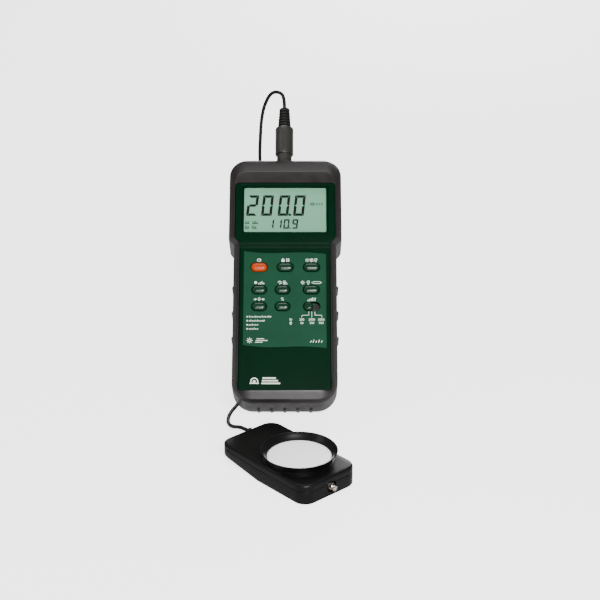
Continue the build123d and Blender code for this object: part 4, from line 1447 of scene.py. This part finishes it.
@dataclass
class Legends:
    """White signs on the overlay and the cover."""

    plane: float = 1.67
    badge_plane: float = 1.56
    line: float = 0.5
    over: float = 5.35
    scale_feet: tuple[Pair, ...] = ((16.9, 12.0), (19.0, 19.0), (21.2, 26.0))
    scale_values: tuple[tuple[float, tuple[str, str]], ...] = (
        (12.0, ("200", "20")), (19.0, ("2000", "200")), (25.6, ("5000", "500")),
    )
    list_left: float = -25.0
    list_pitch: float = 1.15
    list_lengths: tuple[float, ...] = (16.5, 11.5, 7.5, 8.0)

    def sun(self, ink: Print, x: float, z: float, size: float) -> None:
        """Sun sign: a ring with eight rays.

        Args:
            ink: The print.
            x: Centre across.
            z: Centre along.
            size: Outer radius.
        """
        ink.arc((x, z), size * 0.42, size * 0.2)
        for i in range(8):
            way = Vector((math.cos(i * math.pi / 4), math.sin(i * math.pi / 4)))
            start, end = way * size * 0.68, way * size
            ink.stroke((x + start.x, z + start.y), (x + end.x, z + end.y), size * 0.2)

    def bulb(self, ink: Print, x: float, z: float, size: float) -> None:
        """Bulb sign: an open ring on a cap.

        Args:
            ink: The print.
            x: Centre across.
            z: Centre along.
            size: Half its height.
        """
        thin = self.line * 0.8
        ink.arc((x, z + size * 0.25), size * 0.62, thin, -50, 280)
        for half, drop in ((size * 0.32, size * 0.5), (size * 0.26, size * 0.9)):
            ink.stroke((x - half, z - drop), (x + half, z - drop), thin)

    def tube(self, ink: Print, x: float, z: float, length: float) -> None:
        """Lamp tube sign: a long rounded frame with its two caps.

        Args:
            ink: The print.
            x: Centre across.
            z: Centre along.
            length: Its length.
        """
        half, tall, thin = length / 2, 0.72, self.line * 0.7
        for side in (-1, 1):
            ink.stroke((x - half, z + side * tall), (x + half, z + side * tall), thin)
            ink.arc((x + side * half, z), tall, thin, 90 if side < 0 else -90, 180)
            ink.stroke((x + side * (half + 1.3), z - 0.3), (x + side * (half + 1.3), z + 0.3), thin)

    def arrow(self, ink: Print, x: float, z: float, length: float, way: int) -> None:
        """Arrow sign along the meter's width.

        Args:
            ink: The print.
            x: Centre across.
            z: Centre along.
            length: Its length.
            way: 1 for right, -1 for left.
        """
        tip = x + way * length / 2
        barb, half = tip - way * 1.5, way * 0.95
        ink.stroke((x - way * length / 2, z), (tip - way * 0.7, z), self.line)
        ink.patch([(barb, z - half), (tip, z), (barb, z + half)])

    def sign(self, ink: Print, glyph: Glyph, x: float, z: float) -> None:
        """Draws one key's sign.

        Args:
            ink: The print.
            glyph: Which sign.
            x: Centre across.
            z: Centre along.
        """
        line = self.line
        if glyph is Glyph.POWER:
            ink.arc((x, z), 1.25, line, 118, 304, 0.85)
            ink.stroke((x, z + 0.1), (x, z + 1.35), line)
        elif glyph is Glyph.HOLD:
            ink.arc((x - 1.6, z + 0.35), 0.72, line * 0.8, 0, 180)
            left, right, low, high = x - 2.75, x - 0.45, z - 1.3, z + 0.35
            ink.patch([(left, low), (right, low), (right, high), (left, high)])
            for shift in (1.1, 2.4):
                ink.stroke((x + shift, z - 1.05), (x + shift, z + 1.05), line * 1.4)
        elif glyph is Glyph.UNITS:
            self.sun(ink, x - 3.1, z, 1.35)
            self.arrow(ink, x, z + 0.6, 2.9, 1)
            self.arrow(ink, x, z - 0.7, 2.9, -1)
            self.bulb(ink, x + 3.0, z, 1.35)
        elif glyph is Glyph.RECORD:
            ink.dot((x - 2.6, z), 1.0)
            for i in range(4):
                column, top = x - 0.6 + i * 1.25, z - 0.6 + 0.55 * ((i * 2) % 5) * 0.6
                ink.stroke((column, z - 1.1), (column, top), line * 1.2)
        elif glyph is Glyph.RECALL:
            ink.arc((x - 1.9, z), 1.0, line * 0.9, -120, 290)
            ink.patch([(x - 3.5, z + 0.1), (x - 2.2, z + 0.1), (x - 2.85, z + 1.15)])
            for i in range(3):
                row = z - 1.0 + i
                ink.stroke((x + 0.4, row), (x + 3.4 - i * 0.6, row), line * 0.9)
        elif glyph is Glyph.LAMPS:
            self.sun(ink, x - 6.1, z, 1.45)
            self.bulb(ink, x - 2.1, z, 1.4)
            self.tube(ink, x + 3.9, z, 4.2)
        elif glyph is Glyph.ZERO:
            self.arrow(ink, x - 2.6, z, 2.2, 1)
            ink.figures("0", (x, z), 2.5)
            self.arrow(ink, x + 2.6, z, 2.2, -1)
        elif glyph is Glyph.PERCENT:
            ink.figures("%", (x, z), 2.3)
        elif glyph is Glyph.RANGE:
            low = z - 1.2
            for i, tall in enumerate((0.8, 1.4, 2.0, 2.6)):
                column = x - 2.6 + i * 1.15
                ink.stroke((column, low), (column, low + tall * 0.9), line * 1.2)
            ink.stroke((x + 2.4, low), (x + 2.4, z + 1.0), line)
            ink.patch([(x + 1.6, z + 0.4), (x + 3.2, z + 0.4), (x + 2.4, z + 1.4)])

    def build(self) -> None:
        """Draws every sign, the range scale and the marks on the lower cover."""
        ink = Print(self.plane)
        for glyph, (x, z, _) in zip(Glyph, KEYPAD.places().values()):
            self.sign(ink, glyph, x, z + self.over)
        self.range_scale(ink)
        self.lamp_list(ink)
        self.title_marks(ink)
        ink.piece("legends", "print_white", "label_green")
        badge = Print(self.badge_plane)
        self.badge(badge)
        badge.piece("cover_badge", "print_white", "cover_green")

    def range_scale(self, ink: Print) -> None:
        """Draws the three lines under the slide, their numerals and the two signs beside them.

        Args:
            ink: The print.
        """
        thin, foot_high, knee_high, foot_low = 0.28, 65.4, 62.7, 61.0
        for foot, column in self.scale_feet:
            knee = foot_low if foot == column else knee_high
            ink.stroke((foot, foot_high), (foot, knee), thin)
            if foot != column:
                ink.stroke((foot, knee), (column, knee), thin)
                ink.stroke((column, knee), (column, foot_low), thin)
        for column, values in self.scale_values:
            for row, value in enumerate(values):
                ink.figures(value, (column, 59.4 - 2.5 * row), 1.6)
        self.sun(ink, 4.2, 59.5, 1.05)
        self.bulb(ink, 4.2, 56.8, 1.0)

    def lamp_list(self, ink: Print) -> None:
        """Draws a four-line list: a dot and a row of plain strokes in each line.

        Args:
            ink: The print.
        """
        for row, length in enumerate(self.list_lengths):
            z = 61.6 - row * 3.0
            ink.dot((-26.4, z), 0.55)
            for i in range(int(length / self.list_pitch)):
                left = self.list_left + i * self.list_pitch
                rise = 0.75 if (i * 3 + row) % 4 == 0 else 0.3
                bar = z - 0.1 + 0.3 * (i % 2)
                ink.stroke((left, z - 0.55), (left, z + rise), 0.34)
                ink.stroke((left, bar), (left + 0.6, bar), 0.3)

    def title_marks(self, ink: Print) -> None:
        """Draws the light sign and the two plain marks at the overlay's foot.

        Args:
            ink: The print.
        """
        self.sun(ink, -24.6, 44.0, 2.0)
        for i, reach in enumerate((5.0, 8.0, 5.0)):
            left, row = -20.6 + 0.5 * i, 42.7 + 1.3 * i
            ink.stroke((left, row), (left + reach, row), 0.5)
        for i in range(5):
            ink.stroke((18.0 + 1.9 * i, 42.6), (18.6 + 1.9 * i, 44.4 if i % 2 else 43.7), 0.5)

    def badge(self, ink: Print) -> None:
        """Draws a plain badge on the lower cover: an arch over a dot, and three bars.

        Args:
            ink: The print.
        """
        ink.arc((-21.0, 14.2), 2.4, 0.75, -20, 220)
        ink.stroke((-24.0, 12.8), (-18.0, 12.8), 0.75)
        ink.dot((-21.0, 14.1), 1.0)
        for i, reach in enumerate((12.5, 10.6, 8.7)):
            left, row = -15.8 + i * 0.4, 12.8 + i * 1.9
            ink.stroke((left, row), (left + reach, row), 1.0)


@dataclass
class Display:
    """Figures and marks on the liquid crystal cell."""

    plane: float = 3.26
    slant: float = 0.1
    large: tuple[float, float, float, float] = (139.4, 7.8, 16.2, 1.95)
    small: tuple[float, float, float, float] = (129.3, 4.1, 7.4, 1.1)
    large_row: tuple[tuple[str, float], ...] = (("2", -28.4), ("0", -17.6), ("0", -5.6), ("0", 5.6))
    small_row: tuple[tuple[str, float], ...] = (("1", -12.7), ("1", -7.0), ("0", -1.5), ("9", 4.7))
    segments: tuple[tuple[str, str], ...] = (
        ("0", "abcdef"), ("1", "bc"), ("2", "abged"), ("9", "abcdfg"),
    )

    def figure(
        self, ink: Print, figure: str, left: float,
        low: float, width: float, height: float, stroke: float,
    ) -> None:
        """Draws one seven-segment figure.

        Args:
            ink: The print.
            figure: The numeral.
            left: Its left side.
            low: Its lower side.
            width: Its width.
            height: Its height.
            stroke: Width of a segment.
        """
        right, high, middle = left + width, low + height, low + height / 2
        gap, half = stroke * 0.07, stroke / 2
        shapes = {
            "a": [(left + gap, high), (left + stroke + gap, high - stroke),
                  (right - stroke - gap, high - stroke), (right - gap, high)],
            "d": [(left + gap, low), (right - gap, low),
                  (right - stroke - gap, low + stroke), (left + stroke + gap, low + stroke)],
            "g": [(left + half + gap, middle), (left + stroke + gap, middle - half),
                  (right - stroke - gap, middle - half), (right - half - gap, middle),
                  (right - stroke - gap, middle + half), (left + stroke + gap, middle + half)],
        }
        for names, edge, way in (("fe", left, 1), ("bc", right, -1)):
            for name, end, up in ((names[0], high, 1), (names[1], low, -1)):
                side = [
                    (edge, end - up * gap), (edge, middle + up * gap),
                    (edge + way * half, middle + up * gap),
                    (edge + way * stroke, middle + up * (half + gap)),
                    (edge + way * stroke, end - up * (stroke + gap)),
                ]
                shapes[name] = side if way * up > 0 else side[::-1]
        for name in dict(self.segments)[figure]:
            self.slanted(ink, low, shapes[name])

    def slanted(self, ink: Print, low: float, points: Sequence[Pair]) -> None:
        """Adds a shape leaning with the figures.

        Args:
            ink: The print.
            low: Height of the figures' foot.
            points: The shape's corners.
        """
        ink.patch([(x + (z - low) * self.slant, z) for x, z in points])

    def dot(self, ink: Print, x: float, z: float, size: float) -> None:
        """Adds a decimal point."""
        ink.patch([(x, z), (x + size, z), (x + size, z + size), (x, z + size)])

    def build(self) -> None:
        """Draws the large and small figures and the small marks."""
        ink = Print(self.plane, 0.03)
        for figure, left in self.large_row:
            self.figure(ink, figure, left, *self.large)
        self.dot(ink, 2.5, self.large[0], 1.7)
        for figure, left in self.small_row:
            self.figure(ink, figure, left, *self.small)
        self.dot(ink, 3.0, self.small[0], 0.95)
        self.marks(ink)
        ink.piece("display_figures", "segment_black", "lcd_grey")

    def marks(self, ink: Print) -> None:
        """Draws the small status marks.

        Args:
            ink: The print.
        """
        for row, lengths in enumerate(((3.2, 4.2), (3.0, 3.6))):
            foot = 134.2 - 3.7 * row - 0.9
            x = -28.6
            for length in lengths:
                for i in range(int(length / 0.95)):
                    tall = 2.0 if (i + row) % 3 else 1.4
                    ink.stroke((x + i * 1.05, foot), (x + i * 1.05, foot + tall), 0.5)
                ink.stroke((x, foot), (x + length - 0.6, foot), 0.46)
                x += length + 2.0
        ink.arc((20.2, 148.6), 0.85, 0.55)
        for i in range(3):
            ink.stroke((22.4 + 1.9 * i, 147.9), (23.1 + 1.9 * i, 149.3), 0.55)
        ink.stroke((18.6, 147.6), (18.6, 149.6), 0.55)


@dataclass
class Plug:
    """Round plug on the sensor cord, in the meter's top socket."""

    nose_low: float = 173.4
    nose_radius: float = 5.55
    shell_low: float = 194.4
    shell_high: float = 216.6
    shell_radius: float = 6.75
    relief_high: float = 232.7
    relief_foot: float = 4.95
    relief_tip: float = 3.9
    relief_ribs: int = 6

    def frame(self, height: float) -> Matrix:
        """Frame with +Z along the meter's length, on the plug's axis.

        Args:
            height: Height of its origin.

        Returns:
            The frame.
        """
        return METER @ Matrix.Translation((PORTS.plug_x, PORTS.depth, height))

    def nose(self) -> Stock:
        """The nose that goes into the socket.

        Returns:
            The nose, from its lower end.
        """
        stock = Stock()
        length, radius = self.shell_low - self.nose_low, self.nose_radius
        stock.spin([
            (4.2, 0.35), (4.6, 0.0), (5.2, 0.0), (radius, 0.45), (radius, 15.0), (5.3, 15.3), (5.3, 15.8),
            (radius, 16.1), (radius, length), (5.0, length + 0.3), (4.2, length), (4.2, 0.35),
        ], 72)
        return stock

    def barrel(self) -> Stock:
        """The barrel with its two grooves and a small key on its side.

        Returns:
            The barrel, from its lower end.
        """
        stock = Stock()
        tall, radius = self.shell_high - self.shell_low, self.shell_radius
        groove = radius - 0.2
        stock.spin([
            (0, 0), (5.9, 0), (6.4, 0.12), (radius, 0.6), (radius, 1.7), (groove, 1.9), (groove, 2.3),
            (radius, 2.5), (radius, tall - 3.6), (6.6, tall - 3.45), (6.6, tall - 3.1),
            (radius, tall - 2.95), (radius, tall - 1.0), (groove, tall - 0.4), (5.9, tall), (0, tall),
        ], 72)
        key = Stock()
        key.prism(rectangle(-0.9, 0.9, 1.6, 4.4, 0), [0.6] * 4, 0.55, 0.25)
        turn = Matrix.Rotation(math.radians(62), 4, "Z")
        stand = turn @ Matrix.Translation((0, -6.45, tall - 5.2))
        stock.add(key, stand @ Matrix.Rotation(math.radians(90), 4, "X"))
        return stock

    def relief(self) -> Stock:
        """The ribbed strain relief, narrower towards the cord.

        Returns:
            The relief, from its lower end.
        """
        stock = Stock()
        height = self.relief_high - self.shell_high
        foot, tip = self.relief_foot, self.relief_tip
        step = (height - 2.2) / self.relief_ribs
        profile: list[Pair] = [(0, -0.6), (foot, -0.6), (foot, 0.5)]
        for i in range(self.relief_ribs):
            low = 0.9 + i * (height - 2.2) / self.relief_ribs
            outer = foot - (foot - tip) * (low + step * 0.7) / height
            profile += [
                (outer - 0.95, low), (outer - 0.95, low + step * 0.32), (outer - 0.05, low + step * 0.42),
                (outer, low + step * 0.55), (outer - 0.02, low + step * 0.86),
                (outer - 0.2, low + step * 0.97),
            ]
        profile += [
            (3.5, height - 1.25), (tip, height - 1.05), (tip, height - 0.35), (3.6, height),
            (1.5, height), (0, height),
        ]
        stock.spin(profile, 56)
        return stock

    def build(self) -> list[bpy.types.Object]:
        """Builds the plug's visible pieces.

        Returns:
            The pieces.
        """
        nose, barrel, relief = self.nose(), self.barrel(), self.relief()
        low, middle, high = (self.frame(at) for at in (self.nose_low, self.shell_low, self.shell_high))
        return [
            nose.piece("plug_nose_turned", "plug", "plug_black", low, ["plug_nose"]),
            barrel.piece("plug_barrel", "plug", "plug_black", middle, ["plug_shell"]),
            relief.piece("plug_relief", "plug", "relief_rubber", high, ["plug_strain_relief"]),
        ]


@dataclass
class SensorCord:
    """The sensor cord: from the sensor's gland along the floor, through its tied coil, up to the plug."""

    diameter: float = 2.7
    gland_end: Corner = (-0.02595, -0.04344, 0.0104)
    coil_middle: Pair = (-2.0, 150.5)
    pitch: float = 2.9
    inner: float = 12.3
    points_per_turn: int = 14
    turns: float = 5.5
    floor_height: float = 1.38
    upper_height: float = 4.15
    upper_turns: float = 2.25

    def lower_route(self) -> list[Corner]:
        """The cord's way from the gland over the floor to the coil.

        Returns:
            The points, in millimetres.
        """
        return [
            (-25.95, -43.44, 10.4), (-31.71, -37.05, 10.4), (-38.2, -27.4, 5.2), (-42.4, -14.0, 1.6),
            (-41.6, 1.0, 1.38), (-35.6, 16.5, 1.38), (-33.2, 36.0, 1.38), (-35.4, 58.0, 1.38),
            (-31.8, 80.0, 1.38), (-33.4, 99.0, 1.38), (-32.6, 115.0, 1.38), (-26.4, 127.6, 1.6),
            (-15.0, 131.9, 3.4),
        ]

    def coil_turns(self) -> list[Corner]:
        """The wound turns in two layers, a little uneven.

        Returns:
            The points: inwards in the upper layer, down on the way round, and out again on the floor.
        """
        points = []
        steps = int(self.turns * self.points_per_turn)
        drop = self.upper_height - self.floor_height
        swell = 1 / math.cos(math.pi / self.points_per_turn)
        for i in range(steps + 1):
            done = i / self.points_per_turn
            share = done - self.upper_turns
            if share <= 0:
                radius, height = self.inner - self.pitch * share, self.upper_height
            elif share <= 1:
                radius = self.inner - 0.9 * math.sin(math.pi * share)
                height = self.upper_height - drop * share
            else:
                radius, height = self.inner + self.pitch * (share - 1), self.floor_height
            angle = math.radians(-90.0 + 360.0 * done)
            wobble = 0.25 * math.sin(2 * angle + 0.6)
            reach = (radius + wobble) * swell
            x, y = self.coil_middle
            points.append((x + reach * math.cos(angle), y + reach * math.sin(angle), height))
        return points

    def upper_route(self) -> list[Corner]:
        """The cord's way from the coil up behind the meter, over the loop and down to the plug.

        Returns:
            The points, in millimetres.
        """
        return [
            (-13.0, 168.9, 1.5), (-20.8, 168.2, 8.0), (-23.0, 167.9, 19.0), (-22.4, 167.8, 38.0),
            (-23.2, 167.1, 68.0), (-21.9, 166.9, 108.0), (-22.9, 165.7, 143.0), (-22.5, 165.5, 152.1),
            (-21.5, 164.5, 170.9), (-19.0, 162.0, 184.6), (-13.2, 158.0, 196.5), (-5.1, 152.5, 197.1),
            (-2.99, 146.5, 192.41), (-2.99, 141.41, 186.76),
        ]

    def line(self) -> bpy.types.Object:
        """The cord's smooth centreline.

        Returns:
            A curve object with one spline.
        """
        points = self.lower_route() + self.coil_turns() + self.upper_route()
        curve = bpy.data.curves.new("sensor_cord_line", "CURVE")
        curve.dimensions = "3D"
        spline = curve.splines.new("NURBS")
        spline.points.add(len(points) - 1)
        for point, (x, y, z) in zip(spline.points, points):
            point.co = (x / 1000, y / 1000, z / 1000, 1.0)
        spline.order_u = 3
        spline.use_endpoint_u = True
        curve.resolution_u = 6
        return new_object("sensor_cord_line", curve)

    def build(self, pieces: Sequence[bpy.types.Object]) -> None:
        """Args:
            pieces: The separate pieces at its far end; not used.
        """
        line = self.line()
        wire = evaluated_mesh(line)
        bpy.data.meshes.remove(wire)
        line.data.bevel_depth = self.diameter / 2000.0
        line.data.bevel_resolution = 4
        line.data.use_fill_caps = True
        tube = evaluated_mesh(line)
        tube.name = "sensor_cord"
        tube.materials.clear()
        tube.materials.append(SHOP.get("cord_sheath"))
        tube.shade_smooth()
        drop_object(line, bpy.data.curves)
        cord = new_object("sensor_cord", tube)
        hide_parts("cord_upper", "cord_lower", "cord_coil")
        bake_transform(cord)


@dataclass
class Sensor:
    """Wedge-shaped light sensor with its flared collar and white diffuser."""

    length: float = 85.0
    width: float = 47.5
    height: float = 14.0
    corner: float = 9.0
    rise: float = 6.0
    bend: float = -3.0
    split: float = 9.2
    split_rise: float = 1.6
    collar_x: float = 11.5
    stud_height: float = 6.6
    gland: Pair = (5.0, 10.4)
    notch_x: float = -33.0
    well_radius: float = 20.6
    seam: float = 0.16

    def crease(self, stock: Stock) -> None:
        """Cuts a line of edges across the shape where the sensor bends.

        Args:
            stock: The shape.
        """
        bmesh.ops.bisect_plane(
            stock.bm, geom=stock.bm.verts[:] + stock.bm.edges[:] + stock.bm.faces[:],
            plane_co=(self.bend, 0, 0), plane_no=(1, 0, 0),
        )

    def lift(self, stock: Stock, full: float, low: float, high: float) -> None:
        """Raises the cord end of everything between two heights.

        Args:
            stock: The shape.
            full: Rise at the cord end at the lower height.
            low: Height where the rise is full.
            high: Height where it has gone.
        """
        self.crease(stock)
        reach = self.length / 2 + self.bend
        for vert in stock.bm.verts:
            if vert.co.x < self.bend and vert.co.z < high:
                share = min(1.0, (high - vert.co.z) / (high - low))
                vert.co.z += full * share * (self.bend - vert.co.x) / reach

    def block(self, inset: float, low: float, high: float, top: float, bottom: float) -> Stock:
        """Slab with the sensor's plan.

        Args:
            inset: How far inside the plan.
            low: Its lower height.
            high: Its upper height.
            top: Rounding of its upper edge.
            bottom: Rounding of its lower edge.

        Returns:
            The slab.
        """
        half, wide = self.length / 2 - inset, self.width / 2 - inset
        stock = Stock()
        rounds = [self.corner - inset] * 4
        faces = stock.prism(rectangle(-half, half, -wide, wide, low), rounds, high - low, 0.0, 10)
        if top:
            stock.bevel({e for f in faces for e in f.edges}, top, 5)
        if bottom:
            under = [f for f in stock.bm.faces if all(abs(v.co.z - low) < 1e-5 for v in f.verts)]
            stock.bevel({e for f in under for e in f.edges}, bottom, 3)
        return stock

    def tools(self) -> Stock:
        """Recess of the stud, the gland hole and the small notch in the long side.

        Returns:
            The cutting tools.
        """
        stock = Stock()
        half, wide, notch_height = self.length / 2, self.width / 2, self.split + 1.35
        stock.rod(4.0, (half - 1.4, 0, self.stud_height), (half + 2, 0, self.stud_height), 48)
        stock.rod(2.7, (-half - 2, *self.gland), (-half + 3, *self.gland), 40)
        stock.rod(
            0.7, (self.notch_x, -wide - 1, notch_height), (self.notch_x, -wide + 1.2, notch_height), 20
        )
        return stock

    def build(self) -> None:
        """Builds the sensor's visible pieces."""
        lid = self.block(0.0, self.split + self.seam, self.height, 1.7, 0.18)
        self.lift(lid, self.split_rise, self.split, self.height - 0.4)
        well = Stock()
        low, high = ((self.collar_x, 0, self.height + more) for more in (-1.2, 2))
        well.rod(self.well_radius, low, high, 72)
        lid.carve((Action.CUT, self.tools()), (Action.CUT, well))
        lid.piece("sensor_lid", "sensor", "sensor_black", SENSOR, ["sensor_top_shell"])
        base = self.block(0.0, 0.0, self.split - self.seam, 0.18, 1.1)
        core = self.block(0.45, 1.0, self.split + 1.2, 0.0, 0.0)
        for shell in (base, core):
            self.wedge(shell)
            shell.carve((Action.CUT, self.tools()))
        base.add(core)
        base.piece("sensor_base", "sensor", "sensor_black", SENSOR, ["sensor_bottom_shell"])
        self.collar()
        self.stud()

    def wedge(self, stock: Stock) -> None:
        """Bends the underside up towards the cord end, and the parting line a little.

        Args:
            stock: The shape.
        """
        self.crease(stock)
        reach = self.length / 2 + self.bend
        for vert in stock.bm.verts:
            if vert.co.x < self.bend:
                share = max(0.0, min(1.0, vert.co.z / self.split))
                rise = self.rise + (self.split_rise - self.rise) * share
                vert.co.z += rise * (self.bend - vert.co.x) / reach

    def collar(self) -> None:
        """Builds the flared collar and the diffuser in it."""
        place = SENSOR @ Matrix.Translation((self.collar_x, 0, self.height))
        collar = Stock()
        collar.spin([
            (20.4, -1.0), (21.0, -1.0), (23.4, 0.0), (23.4, 0.35), (23.0, 0.6), (22.0, 0.75),
            (21.9, 1.3), (22.3, 2.3), (23.3, 4.3), (24.5, 6.0), (25.0, 6.45), (25.2, 6.68), (25.05, 6.8),
            (24.7, 6.8), (24.35, 6.55), (23.2, 5.2), (22.2, 3.9), (21.5, 3.15), (21.2, 2.9), (21.05, 2.2),
            (20.4, 2.2), (20.4, -1.0),
        ], 96)
        collar.piece("sensor_collar", "sensor", "collar_black", place, ["diffuser_collar"], sharp=38.0)
        disc = Stock()
        disc.spin([
            (0, -0.9), (20.3, -0.9), (20.3, 1.6), (20.95, 1.9), (20.95, 2.25), (20.6, 2.5),
            (19.5, 2.62), (15.0, 2.8), (9.0, 2.92), (4.0, 2.97), (0, 2.98),
        ], 96)
        disc.piece("diffuser", "sensor", "diffuser_white", place, ["diffuser_disc"], sharp=50.0)

    def stud(self) -> None:
        """Builds the nickel stud in the end face."""
        turn = Matrix.Rotation(math.radians(90), 4, "Y")
        place = SENSOR @ Matrix.Translation((self.length / 2, 0, self.stud_height)) @ turn
        stud = Stock()
        stud.spin([
            (0, -5.0), (1.85, -5.0), (1.85, -0.2), (1.35, 0.0), (1.35, 0.7), (1.85, 0.9), (1.85, 1.25),
            (1.7, 1.4), (1.85, 1.55), (1.85, 1.9), (1.7, 2.05), (1.85, 2.2), (1.85, 3.0), (1.6, 3.45),
            (1.25, 3.6), (0.75, 3.6), (0.7, 3.0), (0, 2.9),
        ], 40)
        stud.piece("end_stud_turned", "sensor", "stud_nickel", place, ["end_stud"])
        ring = Stock()
        ring.spin([
            (1.95, -1.3), (2.9, -1.3), (2.9, -0.5), (2.6, -0.2), (2.2, -0.25), (1.95, -0.6), (1.95, -1.3),
        ], 40)
        ring.piece("stud_grommet", "sensor", "relief_rubber", place)


@dataclass
class Studio:
    """Camera, pale floor and soft lights."""

    lens: float = 84.0
    spot: Corner = (0.00871, -0.8923, 0.4551)
    pitch: float = 22.3
    middle: Corner = (0.0, 0.03, 0.08)
    floor_glow: float = 2.6
    surround: float = 0.3

    def camera(self) -> None:
        """Places the camera."""
        data = bpy.data.cameras.new("camera")
        data.lens = self.lens
        data.sensor_width = 36.0
        data.clip_start = 0.01
        camera = new_object("camera", data)
        camera.location = self.spot
        camera.rotation_euler = (math.radians(90.0 - self.pitch), 0.0, 0.0)
        bpy.context.scene.camera = camera

    def area(self, name: str, spot: Corner, aim: Corner, size: Pair, watts: float) -> None:
        """Adds a soft box.

        Args:
            name: Its name.
            spot: Where it stands.
            aim: What it faces.
            size: Its two sides in metres.
            watts: Its power.
        """
        data = bpy.data.lights.new(name, "AREA")
        data.shape = "RECTANGLE"
        data.size, data.size_y = size
        data.energy = watts
        lamp = new_object(name, data)
        lamp.location = spot
        lamp.rotation_euler = (Vector(aim) - Vector(spot)).to_track_quat("-Z", "Y").to_euler()

    def floor(self) -> None:
        """Lays a pale floor that curves up behind, paler still as the camera sees it."""
        stock = Stock()
        face = stock.outline([(-3, -2.5, 0), (3, -2.5, 0), (3, 2.2, 0), (-3, 2.2, 0)])
        back = [e for e in face.edges if all(v.co.y > 2 for v in e.verts)]
        made = bmesh.ops.extrude_edge_only(stock.bm, edges=back)["geom"]
        raised = [g for g in made if isinstance(g, bmesh.types.BMVert)]
        bmesh.ops.translate(stock.bm, vec=(0, 0, 3), verts=raised)
        stock.bevel(back, 1.2, 16)
        mesh = stock.mesh("studio_floor")
        nodes = Nodes("floor_white")
        tone = nodes.ramp(nodes.noise(2.0, 1.0), 0.0, 1.0)
        nodes.feed("Base Color", nodes.blend(tone, (0.48, 0.48, 0.48, 1), (0.5, 0.5, 0.5, 1)))
        nodes.feed("Roughness", 0.85)
        nodes.feed("Specular IOR Level", 0.1)
        seen = nodes.tree.nodes.new("ShaderNodeLightPath").outputs["Is Camera Ray"]
        nodes.feed("Emission Color", (1.0, 1.0, 1.0, 1.0))
        nodes.feed("Emission Strength", nodes.ramp(seen, 0.0, self.floor_glow, (0.0, 1.0)))
        mesh.materials.append(nodes.material)
        mesh.shade_smooth()
        floor = new_object("studio_floor", mesh)

    def world(self) -> None:
        """Sets the even pale surroundings."""
        world = bpy.data.worlds.new("studio")
        world.use_nodes = True
        back = world.node_tree.nodes["Background"]
        back.inputs["Color"].default_value = (1.0, 1.0, 1.0, 1.0)
        back.inputs["Strength"].default_value = self.surround
        bpy.context.scene.world = world

    def build(self) -> None:
        """Sets up the studio."""
        self.camera()
        self.floor()
        self.world()
        self.area("top_box", (-0.1, 0.35, 1.35), self.middle, (1.1, 0.4), 9.0)
        self.area("front_box", (0.3, -1.2, 0.8), self.middle, (0.6, 0.4), 44.0)
        self.area("left_box", (-1.1, -0.3, 0.8), self.middle, (0.25, 0.9), 3.0)
        self.area("low_box", (0.0, -1.4, 0.16), (0.0, 0.0, 0.03), (0.6, 0.16), 6.0)
        self.area("rear_box", (0.25, 1.5, 0.55), self.middle, (0.8, 0.5), 14.0)
        LOG.info("studio is ready")


class CadDressing:
    """Finishes for the CAD nodes that stay as they are."""

    def build(self) -> None:
        """Gives every remaining CAD node its slot's finish."""
        slots = {entry["node"]: entry["material_slot"] for entry in frame["record"]["subparts"]}
        for node, shape in frame["nodes"].items():
            finish = SHOP.get(slots[node])
            if not shape.material_slots:
                shape.data.materials.append(finish)
            for slot in shape.material_slots:
                slot.material = finish
        LOG.info("%d CAD nodes dressed", len(frame["nodes"]))


def main() -> None:
    """Builds the light meter and its studio."""
    logging.basicConfig(level=logging.INFO, format="%(name)s: %(message)s")
    Studio().build()
    CadDressing().build()
    plug = Plug().build()
    SensorCord().build(plug + [frame["nodes"]["coil_tie"]])
    Boot().build()
    Cover().build()
    KEYPAD.build()
    Legends().build()
    Display().build()
    Sensor().build()


if __name__ == "__main__":
    main()
